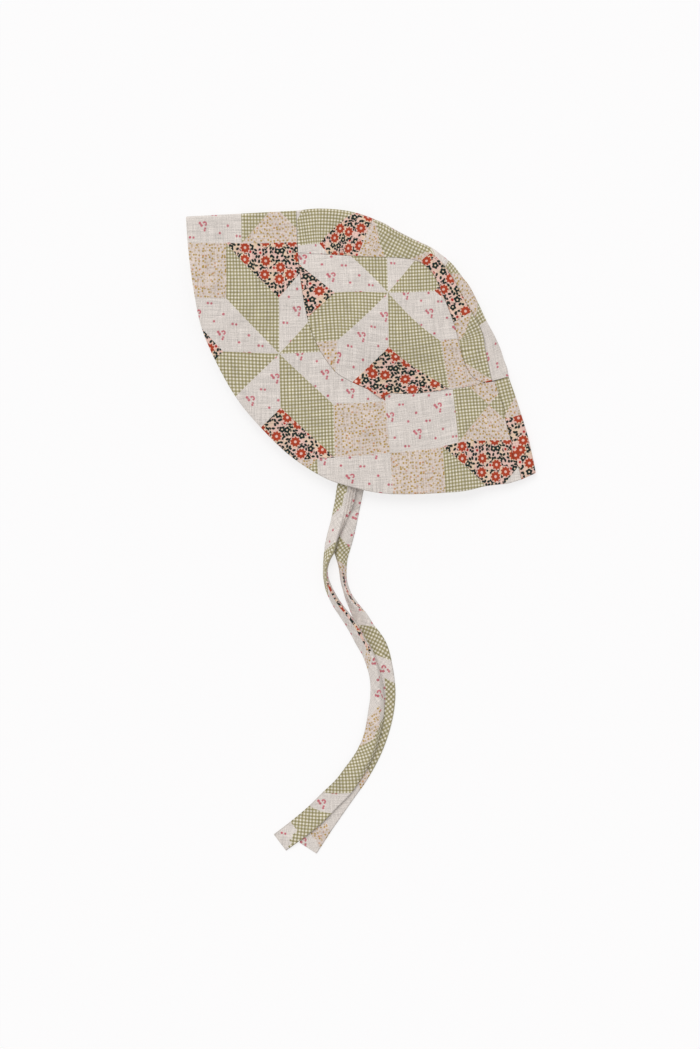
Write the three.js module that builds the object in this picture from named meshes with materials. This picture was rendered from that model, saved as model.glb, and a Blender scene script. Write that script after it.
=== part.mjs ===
// A small child's sun hat of printed cotton, lying on its side and folded flat in half.
// Seen from above, x runs from the front brim tip to the back one, y from the mouth to the crown.
// Each cloth layer is a closed shell. The lower layer lies on z = 0 and the upper one arches over it.
import * as THREE from "three";

// Driving dimensions, in millimetres.
const CROWN_CLOTH = 1.4;
const BRIM_CLOTH = 1.8;
const TIE_CLOTH = 1;
const SEAM_GAP = 0.3;
const CREASE_RADIUS = 0.95;
const CREASE_ROUND = 0.55;
const BRIM_FOLD_RADIUS = 2.3;
const CROWN_FOLD_RADIUS = 4.2;
const BRIM_RISE = 4.8;
const CROWN_RISE = 12;
const RISE_RUN = 58;
const SEAM_RUN = 40;
const FOLD_RUN = 35;

// The fold down the middle of the crown, from the front seam to the back seam.
const CROWN_OUTLINE = [
  { x: -85.6, y: 48.3 },
  { x: -74.0, y: 58.6 },
  { x: -57.3, y: 68.6 },
  { x: -37.9, y: 75.0 },
  { x: -13.4, y: 78.8 },
  { x: 8.3, y: 81.2 },
  { x: 25.8, y: 78.1 },
  { x: 43.3, y: 71.2 },
  { x: 65.3, y: 60.2 },
  { x: 81.3, y: 50.8 },
  { x: 88.5, y: 43.7 },
];

// The seam between the centre strip and a side panel.
const STRIP_SEAM = [
  { x: -68.0, y: 26.8 },
  { x: -51.2, y: 37.7 },
  { x: -32.3, y: 50.2 },
  { x: -12.6, y: 63.7 },
  { x: -1.9, y: 68.8 },
  { x: 8.8, y: 68.2 },
  { x: 19.5, y: 63.0 },
  { x: 39.1, y: 50.8 },
  { x: 54.0, y: 38.8 },
  { x: 63.8, y: 32.5 },
  { x: 75.3, y: 27.5 },
];

// The seam between a side panel and the brim.
const PANEL_BASE = [
  { x: -68.0, y: 26.8 },
  { x: -51.6, y: 9.2 },
  { x: -34.9, y: -5.7 },
  { x: -20.1, y: -14.7 },
  { x: -6.3, y: -19.7 },
  { x: 10.6, y: -19.7 },
  { x: 30.2, y: -13.1 },
  { x: 51.4, y: 3.2 },
  { x: 75.3, y: 27.5 },
];

// The open edge of the brim, from the front tip to the back tip.
const BRIM_EDGE = [
  { x: -140.5, y: 2.6 },
  { x: -123.9, y: -16.2 },
  { x: -104.3, y: -35.7 },
  { x: -88.3, y: -49.5 },
  { x: -67.1, y: -61.8 },
  { x: -43.2, y: -72.2 },
  { x: -18.7, y: -78.1 },
  { x: 5.3, y: -81.1 },
  { x: 28.5, y: -79.9 },
  { x: 45.3, y: -75.4 },
  { x: 72.0, y: -62.7 },
  { x: 105.9, y: -35.9 },
  { x: 119.2, y: -21.2 },
  { x: 131.3, y: -9.7 },
  { x: 140.5, y: 4.4 },
];

// The line that each tie follows, from the head seam to its free end. A row gives how far the crease
// along the cloth lies to the right of that line and how high it is, and then how far out from the
// crease and how high the left and right edges lie, as seen with the crown on top.
const UPPER_TIE = [
  { x: 23.1, y: -22.0, crease: [0.0, 4.3], left: [6.3, 4.3], right: [6.3, 4.3] },
  { x: 29.7, y: -38.8, crease: [0.0, 4.3], left: [6.3, 4.3], right: [6.3, 4.3] },
  { x: 37.8, y: -56.9, crease: [0.0, 4.3], left: [6.2, 4.3], right: [6.2, 4.3] },
  { x: 46.6, y: -73.7, crease: [0.0, 6.0], left: [5.9, 4.1], right: [6.1, 4.4] },
  { x: 48.7, y: -77.7, crease: [0.0, 5.7], left: [6.0, 3.8], right: [6.1, 4.4] },
  { x: 51.5, y: -82.9, crease: [0.0, 4.8], left: [6.0, 2.0], right: [5.8, 4.0] },
  { x: 53.8, y: -87.6, crease: [0.0, 5.0], left: [6.0, 0.9], right: [5.0, 3.6] },
  { x: 56.6, y: -93.6, crease: [0.0, 5.9], left: [6.0, 0.6], right: [3.5, 3.1] },
  { x: 58.9, y: -99.1, crease: [0.0, 6.5], left: [5.9, 0.6], right: [2.3, 3.0] },
  { x: 61.1, y: -104.7, crease: [0.0, 7.0], left: [5.9, 0.6], right: [1.3, 3.4] },
  { x: 63.6, y: -110.1, crease: [0.0, 7.5], left: [6.0, 0.6], right: [1.0, 4.2] },
  { x: 65.1, y: -114.6, crease: [0.0, 7.0], left: [5.3, 0.6], right: [1.0, 2.9] },
  { x: 65.7, y: -119.0, crease: [0.0, 6.3], left: [3.6, 0.6], right: [1.0, 0.6] },
  { x: 66.8, y: -123.0, crease: [0.0, 6.6], left: [2.1, 0.6], right: [1.0, 0.6] },
  { x: 68.9, y: -127.0, crease: [0.0, 6.7], left: [1.4, 0.6], right: [1.0, 0.6] },
  { x: 72.0, y: -130.4, crease: [0.0, 6.7], left: [1.7, 0.6], right: [1.0, 0.6] },
  { x: 76.6, y: -133.4, crease: [0.0, 6.5], left: [2.7, 0.6], right: [1.0, 0.6] },
  { x: 81.7, y: -136.0, crease: [0.0, 6.4], left: [3.4, 0.6], right: [1.0, 0.7] },
  { x: 89.5, y: -139.1, crease: [0.0, 6.7], left: [4.0, 0.6], right: [1.0, 1.6] },
  { x: 95.8, y: -140.8, crease: [0.0, 6.9], left: [4.5, 0.6], right: [1.0, 2.3] },
  { x: 105.8, y: -143.8, crease: [0.0, 6.7], left: [5.3, 0.6], right: [1.0, 2.4] },
  { x: 115.9, y: -148.3, crease: [0.0, 6.8], left: [5.5, 0.6], right: [1.1, 2.8] },
  { x: 124.1, y: -151.9, crease: [0.0, 6.6], left: [5.5, 0.6], right: [1.2, 2.5] },
  { x: 132.5, y: -157.7, crease: [0.0, 6.4], left: [5.3, 0.6], right: [1.3, 2.0] },
  { x: 139.1, y: -164.1, crease: [0.0, 6.4], left: [5.0, 0.7], right: [2.1, 2.0] },
  { x: 145.3, y: -171.5, crease: [0.0, 6.1], left: [5.5, 0.9], right: [2.7, 2.0] },
  { x: 151.1, y: -179.3, crease: [0.0, 5.5], left: [6.8, 1.3], right: [2.8, 2.0] },
  { x: 156.6, y: -188.0, crease: [0.0, 5.5], left: [7.6, 2.0], right: [2.1, 2.0] },
  { x: 160.0, y: -195.2, crease: [0.0, 5.5], left: [7.9, 2.0], right: [1.8, 2.0] },
  { x: 162.5, y: -202.2, crease: [0.0, 5.0], left: [8.5, 2.0], right: [1.7, 2.0] },
  { x: 164.0, y: -209.4, crease: [0.0, 4.6], left: [8.9, 2.0], right: [1.9, 2.0] },
  { x: 164.6, y: -219.9, crease: [0.0, 3.7], left: [9.2, 2.0], right: [2.7, 2.0] },
  { x: 163.7, y: -232.5, crease: [0.0, 2.2], left: [8.5, 2.2], right: [4.0, 2.2] },
  { x: 161.5, y: -244.7, crease: [0.0, 2.2], left: [8.3, 2.1], right: [4.6, 2.2] },
  { x: 159.3, y: -257.9, crease: [0.0, 2.2], left: [8.1, 1.7], right: [5.0, 2.2] },
  { x: 156.5, y: -270.4, crease: [0.0, 2.2], left: [8.1, 0.9], right: [4.8, 2.2] },
  { x: 154.2, y: -278.9, crease: [0.0, 1.6], left: [8.1, 0.6], right: [4.5, 1.6] },
  { x: 152.1, y: -286.3, crease: [0.0, 0.6], left: [8.1, 0.6], right: [4.4, 0.6] },
];
const LOWER_TIE = [
  { x: 27.3, y: -20.5, crease: [0.0, 2.7], left: [6.3, 2.7], right: [6.3, 2.7] },
  { x: 34.0, y: -38.8, crease: [0.0, 2.7], left: [6.3, 2.7], right: [6.3, 2.7] },
  { x: 42.5, y: -56.6, crease: [0.0, 2.7], left: [6.3, 2.7], right: [6.3, 2.7] },
  { x: 50.2, y: -71.0, crease: [0.0, 2.7], left: [6.3, 2.7], right: [6.3, 2.7] },
  { x: 52.5, y: -75.7, crease: [0.0, 2.7], left: [6.3, 2.5], right: [6.3, 2.7] },
  { x: 54.8, y: -80.4, crease: [0.0, 1.8], left: [6.3, 1.6], right: [6.2, 1.8] },
  { x: 57.1, y: -85.2, crease: [0.0, 0.9], left: [6.3, 0.7], right: [6.1, 0.9] },
  { x: 60.2, y: -91.7, crease: [0.0, 1.8], left: [6.3, 0.6], right: [6.1, 0.8] },
  { x: 63.6, y: -98.9, crease: [0.0, 1.9], left: [6.3, 0.6], right: [6.0, 0.8] },
  { x: 66.2, y: -104.9, crease: [-0.6, 2.4], left: [5.5, 0.6], right: [6.5, 0.6] },
  { x: 68.7, y: -109.5, crease: [-1.9, 3.6], left: [3.6, 0.6], right: [7.2, 0.6] },
  { x: 72.0, y: -113.5, crease: [-2.3, 4.3], left: [1.4, 0.6], right: [6.0, 0.6] },
  { x: 75.0, y: -116.8, crease: [-1.8, 5.6], left: [1.0, 0.6], right: [4.3, 0.6] },
  { x: 78.5, y: -120.7, crease: [-1.4, 6.0], left: [0.9, 0.6], right: [3.1, 0.6] },
  { x: 82.6, y: -124.9, crease: [-1.4, 6.2], left: [0.9, 0.6], right: [2.6, 0.6] },
  { x: 86.8, y: -128.2, crease: [-1.3, 6.2], left: [1.0, 0.6], right: [2.6, 0.6] },
  { x: 91.0, y: -131.1, crease: [-0.8, 6.0], left: [1.8, 0.6], right: [2.6, 0.6] },
  { x: 96.1, y: -133.5, crease: [0.1, 5.6], left: [3.5, 0.6], right: [2.3, 0.6] },
  { x: 101.3, y: -135.1, crease: [1.2, 4.9], left: [6.1, 0.6], right: [1.4, 0.6] },
  { x: 106.5, y: -136.8, crease: [1.9, 3.9], left: [8.0, 0.6], right: [1.1, 0.6] },
  { x: 112.4, y: -139.3, crease: [1.7, 2.8], left: [8.8, 0.6], right: [1.5, 0.6] },
  { x: 118.5, y: -142.4, crease: [1.0, 1.5], left: [7.7, 0.6], right: [3.6, 0.6] },
  { x: 123.8, y: -145.7, crease: [0.4, 0.9], left: [6.8, 0.6], right: [5.5, 0.6] },
  { x: 128.8, y: -149.2, crease: [0.0, 0.6], left: [6.3, 0.6], right: [6.2, 0.6] },
  { x: 134.3, y: -154.0, crease: [0.0, 0.6], left: [6.3, 0.6], right: [6.3, 0.6] },
  { x: 140.9, y: -160.3, crease: [0.0, 0.6], left: [6.3, 0.6], right: [6.3, 0.6] },
  { x: 147.6, y: -168.2, crease: [0.0, 0.6], left: [6.3, 0.6], right: [6.3, 0.6] },
  { x: 153.3, y: -177.6, crease: [0.0, 0.6], left: [6.3, 0.6], right: [6.3, 0.6] },
  { x: 157.8, y: -187.9, crease: [0.0, 0.6], left: [6.3, 0.6], right: [6.3, 0.6] },
  { x: 161.3, y: -199.0, crease: [0.0, 0.6], left: [6.3, 0.6], right: [6.3, 0.6] },
  { x: 163.4, y: -209.5, crease: [0.0, 0.6], left: [6.3, 0.6], right: [6.3, 0.6] },
  { x: 164.7, y: -221.1, crease: [0.0, 0.6], left: [6.3, 0.6], right: [6.3, 0.6] },
  { x: 165.0, y: -233.7, crease: [0.0, 0.6], left: [6.3, 0.6], right: [6.3, 0.6] },
  { x: 165.4, y: -247.9, crease: [0.0, 0.6], left: [6.3, 0.6], right: [6.3, 0.6] },
  { x: 165.9, y: -261.4, crease: [0.0, 0.6], left: [6.3, 0.6], right: [6.3, 0.6] },
  { x: 167.0, y: -277.8, crease: [0.0, 0.6], left: [6.3, 0.6], right: [6.3, 0.6] },
];

// How finely the shells are cut into facets.
const CROWN_STATIONS = 30;
const STRIP_ROWS = 5;
const PANEL_ROWS = 8;
const BRIM_STATIONS = 42;
const BRIM_ROWS = 5;
const FOLD_FACETS = 8;
const TIE_STATIONS = 62;
const FOLD_SAMPLES = 160;
const SEAM_SAMPLES = 120;

const planCurve = (rows) => new THREE.SplineCurve(rows.map(({ x, y }) => new THREE.Vector2(x, y)));
const crownOutline = planCurve(CROWN_OUTLINE);
const stripSeam = planCurve(STRIP_SEAM);
const panelBase = planCurve(PANEL_BASE);
const brimEdge = planCurve(BRIM_EDGE);
const frontFold = new THREE.LineCurve(brimEdge.getPoint(0), crownOutline.getPoint(0));
const backFold = new THREE.LineCurve(crownOutline.getPoint(1), brimEdge.getPoint(1));

// The head seam runs along the strip's front end, a side panel's base and the strip's back end.
const headSeam = new THREE.CurvePath();
headSeam.add(new THREE.LineCurve(crownOutline.getPoint(0), panelBase.getPoint(0)));
headSeam.add(panelBase);
headSeam.add(new THREE.LineCurve(panelBase.getPoint(1), crownOutline.getPoint(1)));

const smooth = (value) => THREE.MathUtils.smoothstep(value, 0, 1);

/** The outside radius of the fold, a share t of the way over the crown. */
function crownFoldRadius(t) {
  const share = smooth(Math.min(t, 1 - t) * 4);
  return THREE.MathUtils.lerp(BRIM_FOLD_RADIUS, CROWN_FOLD_RADIUS, share);
}

/** Points along the whole fold, from the front tip over the crown to the back tip. */
function foldPoints() {
  const points = [];
  for (const curve of [frontFold, crownOutline, backFold]) {
    for (let i = 0; i <= FOLD_SAMPLES; i += 1) {
      const t = i / FOLD_SAMPLES;
      const radius = curve === crownOutline ? crownFoldRadius(t) : BRIM_FOLD_RADIUS;
      points.push({ place: curve.getPointAt(t), radius });
    }
  }
  return points;
}
const FOLD = foldPoints();
const SEAM = headSeam.getPoints(SEAM_SAMPLES);

/** The nearest point of the fold to a place in plan: how far it is, and its radius. */
function nearestFold(place) {
  let best = { distance: Infinity, radius: BRIM_FOLD_RADIUS };
  for (const { place: at, radius } of FOLD) {
    const distance = at.distanceTo(place);
    if (distance < best.distance) best = { distance, radius };
  }
  return best;
}

/** The height of the upper layer's outside over a place in plan. */
function upperHeight(place, onCrown) {
  const { distance, radius } = nearestFold(place);
  const fold = THREE.MathUtils.lerp(radius, BRIM_FOLD_RADIUS, smooth(distance / FOLD_RUN));
  let rise = BRIM_RISE;
  if (onCrown) {
    const fromSeam = Math.min(...SEAM.map((point) => point.distanceTo(place)));
    rise = THREE.MathUtils.lerp(BRIM_RISE, CROWN_RISE, smooth(fromSeam / SEAM_RUN));
  }
  return 2 * fold + rise * smooth((distance - radius) / RISE_RUN);
}

/** A closed shell between two grids of points. A ring's last station joins its first. */
function shell(outside, inside, ring = false) {
  const stations = outside.length;
  const rows = outside[0].length;
  const positions = [];
  for (const grid of [outside, inside]) {
    for (const station of grid) for (const point of station) positions.push(point.x, point.y, point.z);
  }
  const out = (i, j) => (i % stations) * rows + j;
  const inner = (i, j) => stations * rows + out(i, j);
  const faces = [];
  const quad = (a, b, c, d) => faces.push([a, b, c], [a, c, d]);
  const spans = ring ? stations : stations - 1;
  for (let i = 0; i < spans; i += 1) {
    for (let j = 0; j < rows - 1; j += 1) {
      quad(out(i, j), out(i + 1, j), out(i + 1, j + 1), out(i, j + 1));
      quad(inner(i, j), inner(i, j + 1), inner(i + 1, j + 1), inner(i + 1, j));
    }
    quad(out(i, 0), inner(i, 0), inner(i + 1, 0), out(i + 1, 0));
    quad(out(i, rows - 1), out(i + 1, rows - 1), inner(i + 1, rows - 1), inner(i, rows - 1));
  }
  if (!ring) {
    const last = stations - 1;
    for (let j = 0; j < rows - 1; j += 1) {
      quad(out(0, j), out(0, j + 1), inner(0, j + 1), inner(0, j));
      quad(out(last, j), inner(last, j), inner(last, j + 1), out(last, j + 1));
    }
  }
  return closedGeometry(positions, faces);
}

/** The signed volume that triangles enclose, negative when they point inwards. */
function enclosedVolume(positions, faces) {
  const corner = (i) => new THREE.Vector3(...positions.slice(3 * i, 3 * i + 3));
  return faces.reduce((sum, [a, b, c]) => sum + corner(a).dot(corner(b).cross(corner(c))) / 6, 0);
}

/** A geometry whose faces point outwards. */
function closedGeometry(positions, faces) {
  const outward = enclosedVolume(positions, faces) > 0;
  const geometry = new THREE.BufferGeometry();
  geometry.setAttribute("position", new THREE.Float32BufferAttribute(positions, 3));
  geometry.setIndex(faces.flatMap(([a, b, c]) => (outward ? [a, b, c] : [a, c, b])));
  geometry.computeVertexNormals();
  return geometry;
}

/** Evenly spaced numbers from low to high, both included. */
function steps(low, high, count) {
  return Array.from({ length: count + 1 }, (_, i) => low + ((high - low) * i) / count);
}

/** The angles round a fold, from its top to its bottom, without the two ends. */
function foldAngles() {
  return steps(Math.PI / 2, -Math.PI / 2, FOLD_FACETS).slice(1, -1);
}

/** The centre strip: over the top, round the fold and back underneath. */
function crownStrip() {
  const length = crownOutline.getLength();
  const outside = [];
  const inside = [];
  for (const t of steps(SEAM_GAP / length, 1 - SEAM_GAP / length, CROWN_STATIONS)) {
    const fold = crownOutline.getPointAt(t);
    const seam = stripSeam.getPointAt(t);
    const width = fold.distanceTo(seam) - SEAM_GAP / 2;
    const across = seam.clone().sub(fold).normalize();
    const radius = crownFoldRadius(t);
    const at = (distance, z) => {
      const place = fold.clone().addScaledVector(across, distance);
      return new THREE.Vector3(place.x, place.y, z);
    };
    const outer = [];
    const inner = [];
    for (const distance of steps(width, radius, STRIP_ROWS)) {
      const top = upperHeight(at(distance, 0), true);
      outer.push(at(distance, top));
      inner.push(at(distance, top - CROWN_CLOTH));
    }
    for (const angle of foldAngles()) {
      const bend = (r) => at(radius - r * Math.cos(angle), radius + r * Math.sin(angle));
      outer.push(bend(radius));
      inner.push(bend(radius - CROWN_CLOTH));
    }
    for (const distance of steps(radius, width, STRIP_ROWS)) {
      outer.push(at(distance, 0));
      inner.push(at(distance, CROWN_CLOTH));
    }
    outside.push(outer);
    inside.push(inner);
  }
  return shell(outside, inside);
}

/** A side panel, from the strip seam down to the head seam. */
function sidePanel(upper) {
  const outside = [];
  const inside = [];
  const length = stripSeam.getLength();
  const cornerInset = 2 * SEAM_GAP;
  for (const t of steps(cornerInset / length, 1 - cornerInset / length, CROWN_STATIONS)) {
    const top = stripSeam.getPointAt(t);
    const base = panelBase.getPointAt(t);
    const margin = SEAM_GAP / top.distanceTo(base);
    const shares = steps(margin, 1 - margin, PANEL_ROWS);
    const places = shares.map((share) => top.clone().lerp(base, share));
    const outer = [];
    const inner = [];
    for (const place of places) {
      const height = upper ? upperHeight(place, true) : CROWN_CLOTH;
      outer.push(new THREE.Vector3(place.x, place.y, height));
      inner.push(new THREE.Vector3(place.x, place.y, height - CROWN_CLOTH));
    }
    outside.push(outer);
    inside.push(inner);
  }
  return shell(outside, inside);
}

/** The brim's stations: each says where it is along a layer, and how to bend round a fold. */
function brimStations() {
  const flat = steps(0, 1, BRIM_STATIONS);
  const bends = foldAngles();
  return [
    ...flat.map((share) => ({ share, layer: "upper" })),
    ...bends.map((angle) => ({ angle, layer: "back" })),
    ...flat.map((share) => ({ share: 1 - share, layer: "lower" })),
    ...bends.map((angle) => ({ angle: -angle, layer: "front" })),
  ];
}

/** The brim: one ring, folded flat at the front and at the back. */
function brim() {
  const seamLength = headSeam.getLength();
  const edgeLength = brimEdge.getLength();
  const rows = steps(0, 1, BRIM_ROWS);
  const planPoint = (share, row) => {
    const t = THREE.MathUtils.clamp(share, 0, 1);
    const seam = headSeam.getPoint(t);
    const edge = brimEdge.getPointAt(t);
    const margin = SEAM_GAP / 2 / seam.distanceTo(edge);
    return seam.lerp(edge, THREE.MathUtils.lerp(margin, 1, row));
  };
  const outside = [];
  const inside = [];
  for (const { share, angle, layer } of brimStations()) {
    const outer = [];
    const inner = [];
    for (const row of rows) {
      const length = THREE.MathUtils.lerp(seamLength, edgeLength, row);
      const foldShare = BRIM_FOLD_RADIUS / length;
      const at = (along, z) => {
        const place = planPoint(along, row);
        return new THREE.Vector3(place.x, place.y, z);
      };
      if (layer === "upper" || layer === "lower") {
        const along = THREE.MathUtils.lerp(foldShare, 1 - foldShare, share);
        const place = planPoint(along, row);
        const top = layer === "upper" ? upperHeight(place, false) : 0;
        outer.push(at(along, top));
        inner.push(at(along, layer === "upper" ? top - BRIM_CLOTH : BRIM_CLOTH));
      } else {
        const bend = (r) => {
          const inset = (BRIM_FOLD_RADIUS - r * Math.cos(angle)) / length;
          const z = BRIM_FOLD_RADIUS + r * Math.sin(angle);
          return at(layer === "back" ? 1 - inset : inset, z);
        };
        outer.push(bend(BRIM_FOLD_RADIUS));
        inner.push(bend(BRIM_FOLD_RADIUS - BRIM_CLOTH));
      }
    }
    outside.push(outer);
    inside.push(inner);
  }
  return shell(outside, inside, true);
}

/** The line of a tie's cloth across, as places out from the tie's line and up, from left to right. */
function tieSection(crease, left, right) {
  const side = (sign, edge) => {
    const out = Math.min(edge.x, CREASE_RADIUS);
    const drop = ((crease.y - edge.y) * out) / edge.x;
    const limit = CREASE_RADIUS * CREASE_ROUND;
    const shoulder = new THREE.Vector2(out, crease.y - THREE.MathUtils.clamp(drop, -limit, limit));
    const flank = shoulder.clone().lerp(edge, 0.5);
    return [edge, flank, shoulder].map(({ x, y }) => new THREE.Vector2(crease.x + sign * x, y));
  };
  return [...side(-1, left), crease, ...side(1, right).reverse()];
}

/** The closed outline of a cloth that follows a line, half its thickness to each side. */
function clothOutline(line) {
  const over = [];
  const under = [];
  line.forEach((point, i) => {
    const back = point.clone().sub(line[Math.max(i - 1, 0)]).normalize();
    const ahead = line[Math.min(i + 1, line.length - 1)].clone().sub(point).normalize();
    const along = back.clone().add(ahead).normalize();
    const reach = TIE_CLOTH / 2 / Math.max(along.dot(i > 0 ? back : ahead), 0.8);
    const normal = new THREE.Vector2(-along.y, along.x).multiplyScalar(reach);
    over.push(point.clone().add(normal));
    under.unshift(point.clone().sub(normal));
  });
  return [...over, ...under];
}

/** A tie: a narrow cloth carried along its line, with its crease and edges where the table says. */
function tie(rows) {
  const line = new THREE.CatmullRomCurve3(
    rows.map(({ x, y }) => new THREE.Vector3(x, y, 0)),
    false,
    "centripetal",
  );
  const [crease, left, right] = ["crease", "left", "right"].map(
    (name) => new THREE.SplineCurve(rows.map((row) => new THREE.Vector2(...row[name]))),
  );
  const positions = [];
  const faces = [];
  let corners = 0;
  for (let i = 0; i <= TIE_STATIONS; i += 1) {
    const t = line.getUtoTmapping(i / TIE_STATIONS);
    const middle = line.getPoint(t);
    const along = line.getTangent(t);
    const outline = clothOutline(tieSection(crease.getPoint(t), left.getPoint(t), right.getPoint(t)));
    corners = outline.length;
    for (const { x: out, y: z } of outline) {
      positions.push(middle.x - out * along.y, middle.y + out * along.x, z);
    }
    if (i === 0) continue;
    for (let k = 0; k < corners; k += 1) {
      const [a, b] = [i * corners + k, i * corners + ((k + 1) % corners)];
      faces.push([a - corners, a, b], [a - corners, b, b - corners]);
    }
  }
  const last = TIE_STATIONS * corners;
  for (let k = 0; k < corners / 2 - 1; k += 1) {
    const [a, b, c, d] = [k, k + 1, corners - 2 - k, corners - 1 - k];
    faces.push([a, b, c], [a, c, d], [last + a, last + c, last + b], [last + a, last + d, last + c]);
  }
  return closedGeometry(positions, faces);
}

/** A cotton cloth's plain material. */
function cotton(color) {
  return new THREE.MeshStandardMaterial({ color, roughness: 0.95, metalness: 0 });
}

const hat = new THREE.Group();
const pieces = [
  { name: "crown_strip", geometry: crownStrip(), color: 0xb4b78f },
  { name: "side_panel_upper", geometry: sidePanel(true), color: 0xd8d2c9 },
  { name: "side_panel_lower", geometry: sidePanel(false), color: 0xd8d2c9 },
  { name: "brim", geometry: brim(), color: 0xcfc3b4 },
  { name: "tie_upper", geometry: tie(UPPER_TIE), color: 0xd5cdc4 },
  { name: "tie_lower", geometry: tie(LOWER_TIE), color: 0xc6c4ab },
];
for (const { name, geometry, color } of pieces) {
  const mesh = new THREE.Mesh(geometry, cotton(color));
  mesh.name = name;
  hat.add(mesh);
}

export default hat;
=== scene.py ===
"""A child's cotton sun hat with two cloth ties, lying folded flat on a pale surface."""

import logging
import math
from dataclasses import dataclass
from enum import Enum
from typing import Sequence

import bpy
import numpy as np
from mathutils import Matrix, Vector


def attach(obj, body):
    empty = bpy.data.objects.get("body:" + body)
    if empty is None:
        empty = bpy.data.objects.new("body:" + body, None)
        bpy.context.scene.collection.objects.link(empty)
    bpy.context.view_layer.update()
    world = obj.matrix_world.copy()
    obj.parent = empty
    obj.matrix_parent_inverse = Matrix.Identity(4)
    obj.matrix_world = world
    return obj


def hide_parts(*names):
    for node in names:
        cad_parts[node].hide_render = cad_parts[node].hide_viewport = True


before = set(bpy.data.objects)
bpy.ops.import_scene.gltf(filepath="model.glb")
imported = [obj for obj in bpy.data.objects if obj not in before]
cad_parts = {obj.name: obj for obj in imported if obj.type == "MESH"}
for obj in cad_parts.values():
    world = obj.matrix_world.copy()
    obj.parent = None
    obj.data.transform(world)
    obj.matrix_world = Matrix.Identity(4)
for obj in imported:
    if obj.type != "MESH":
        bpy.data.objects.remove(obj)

LOG = logging.getLogger("sun_hat")
MM = 0.001
# One square of the quilt print, in millimetres on the cloth.
SQUARE = 34.5
# How far the print may leave its pins for the sake of smoothness, and the length that its bend counts in.
PRINT_SLACK = 0.0004
PIN_SCALE = 100.0
# Points closer than this are merged, thinner faces are dissolved, and sharper edges stay sharp.
MERGE_GAP = 2e-6
SLIVER = 1e-6
SHARP_ANGLE = math.radians(50)
# Keeps divisions and logarithms away from zero.
TINY = 1e-12

Array = np.ndarray
Values = Array | float
Piece = bpy.types.Object
Material = bpy.types.Material
Tree = bpy.types.NodeTree
Result = bpy.types.NodeSocket
Pair = tuple[float, float]
# Plan points in millimetres, each with its place in the print, in squares.
Pins = tuple[tuple[Pair, Pair], ...]
Colour = tuple[float, ...]
Socket = Result | float | Sequence[float]
Sockets = bpy.types.bpy_prop_collection


class Patch(Enum):
    """The small prints that the quilt squares and the ties are made up of, by their place on a ramp."""

    SPRIGS = 0.0
    GINGHAM = 0.25
    DOTS = 0.5
    FLOWERS = 0.75


SPRIGS, GINGHAM, DOTS, FLOWERS = Patch
Chart = tuple[tuple[float, Patch], ...]


def smooth(value: Values) -> Array:
    """Eases a value from 0 to 1.

    Args:
        value: Any numbers; what lies outside 0 to 1 is held at the nearer end.

    Returns:
        The eased numbers.
    """
    held = np.clip(value, 0.0, 1.0)
    return held * held * (3.0 - 2.0 * held)


def mix(first: Values, second: Values, share: Values) -> Array:
    """Goes from the first value to the second by a share of the way."""
    return first + (second - first) * share


def unit(ways: Array) -> Array:
    """Scales each way to a length of 1."""
    return ways / np.linalg.norm(ways, axis=-1, keepdims=True)


def towards(line: Array, target: Array, gap: Values) -> Array:
    """Gives a line's points moved some way towards another line's."""
    return line + unit(target - line) * np.reshape(gap, (-1, 1))


def mirror(places: Array, start: Array, end: Array) -> Array:
    """Mirrors plan points at the straight line through two others."""
    way = unit(end - start)
    foot = start + ((places - start) @ way)[..., None] * way
    return 2.0 * foot - places


def rolled(distance: Array, reach: float, depth: float) -> Array:
    """Says how far a cloth's face falls away as it rolls over a rim.

    Args:
        distance: How far each point lies from the rim, in millimetres.
        reach: How far from the rim the roll starts.
        depth: How far the face has fallen at the rim itself.

    Returns:
        The fall of each point.
    """
    inward = 1.0 - np.clip(distance / reach, 0.0, 1.0)
    return depth * (1.0 - np.sqrt(1.0 - inward * inward))


def spaced(length: float, close: Sequence[float], middle: int) -> Array:
    """Spreads stations along a line, close together at both ends and even between.

    Args:
        length: The line's length, in millimetres.
        close: Distances of the close stations from each end.
        middle: How many even steps lie between them.

    Returns:
        The stations, as distances from the start.
    """
    scale = min(1.0, length / (4.0 * close[-1]))
    ends = np.array(close) * scale
    even = np.linspace(ends[-1], length - ends[-1], middle + 1)[1:-1]
    return np.concatenate([ends, even, (length - ends)[::-1]])


def relief(places: Array, height: float) -> Array:
    """Gives the gentle unevenness of cloth that has been folded and put away.

    Args:
        places: Plan points, in millimetres.
        height: How high the swells are.

    Returns:
        The rise at each point.
    """
    # Each wave's length, its way in radians, its phase and its share of the height.
    waves = (
        (61.0, 0.5, 0.3, 0.8), (43.0, 2.2, 1.9, 0.9), (29.0, 1.1, 4.0, 0.6),
        (21.0, 2.8, 2.5, 0.5), (13.0, 0.1, 0.9, 0.28), (9.5, 1.7, 5.2, 0.22),
    )
    rise = np.zeros(places.shape[:-1])
    for length, way, phase, share in waves:
        along = places[..., 0] * math.cos(way) + places[..., 1] * math.sin(way)
        aside = places[..., 1] * math.cos(way) - places[..., 0] * math.sin(way)
        sway = 0.9 * np.sin(aside / length * 3.1 + phase)
        rise += share * np.sin(2 * math.pi * along / length + phase + sway)
    return rise * height / 1.6


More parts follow.
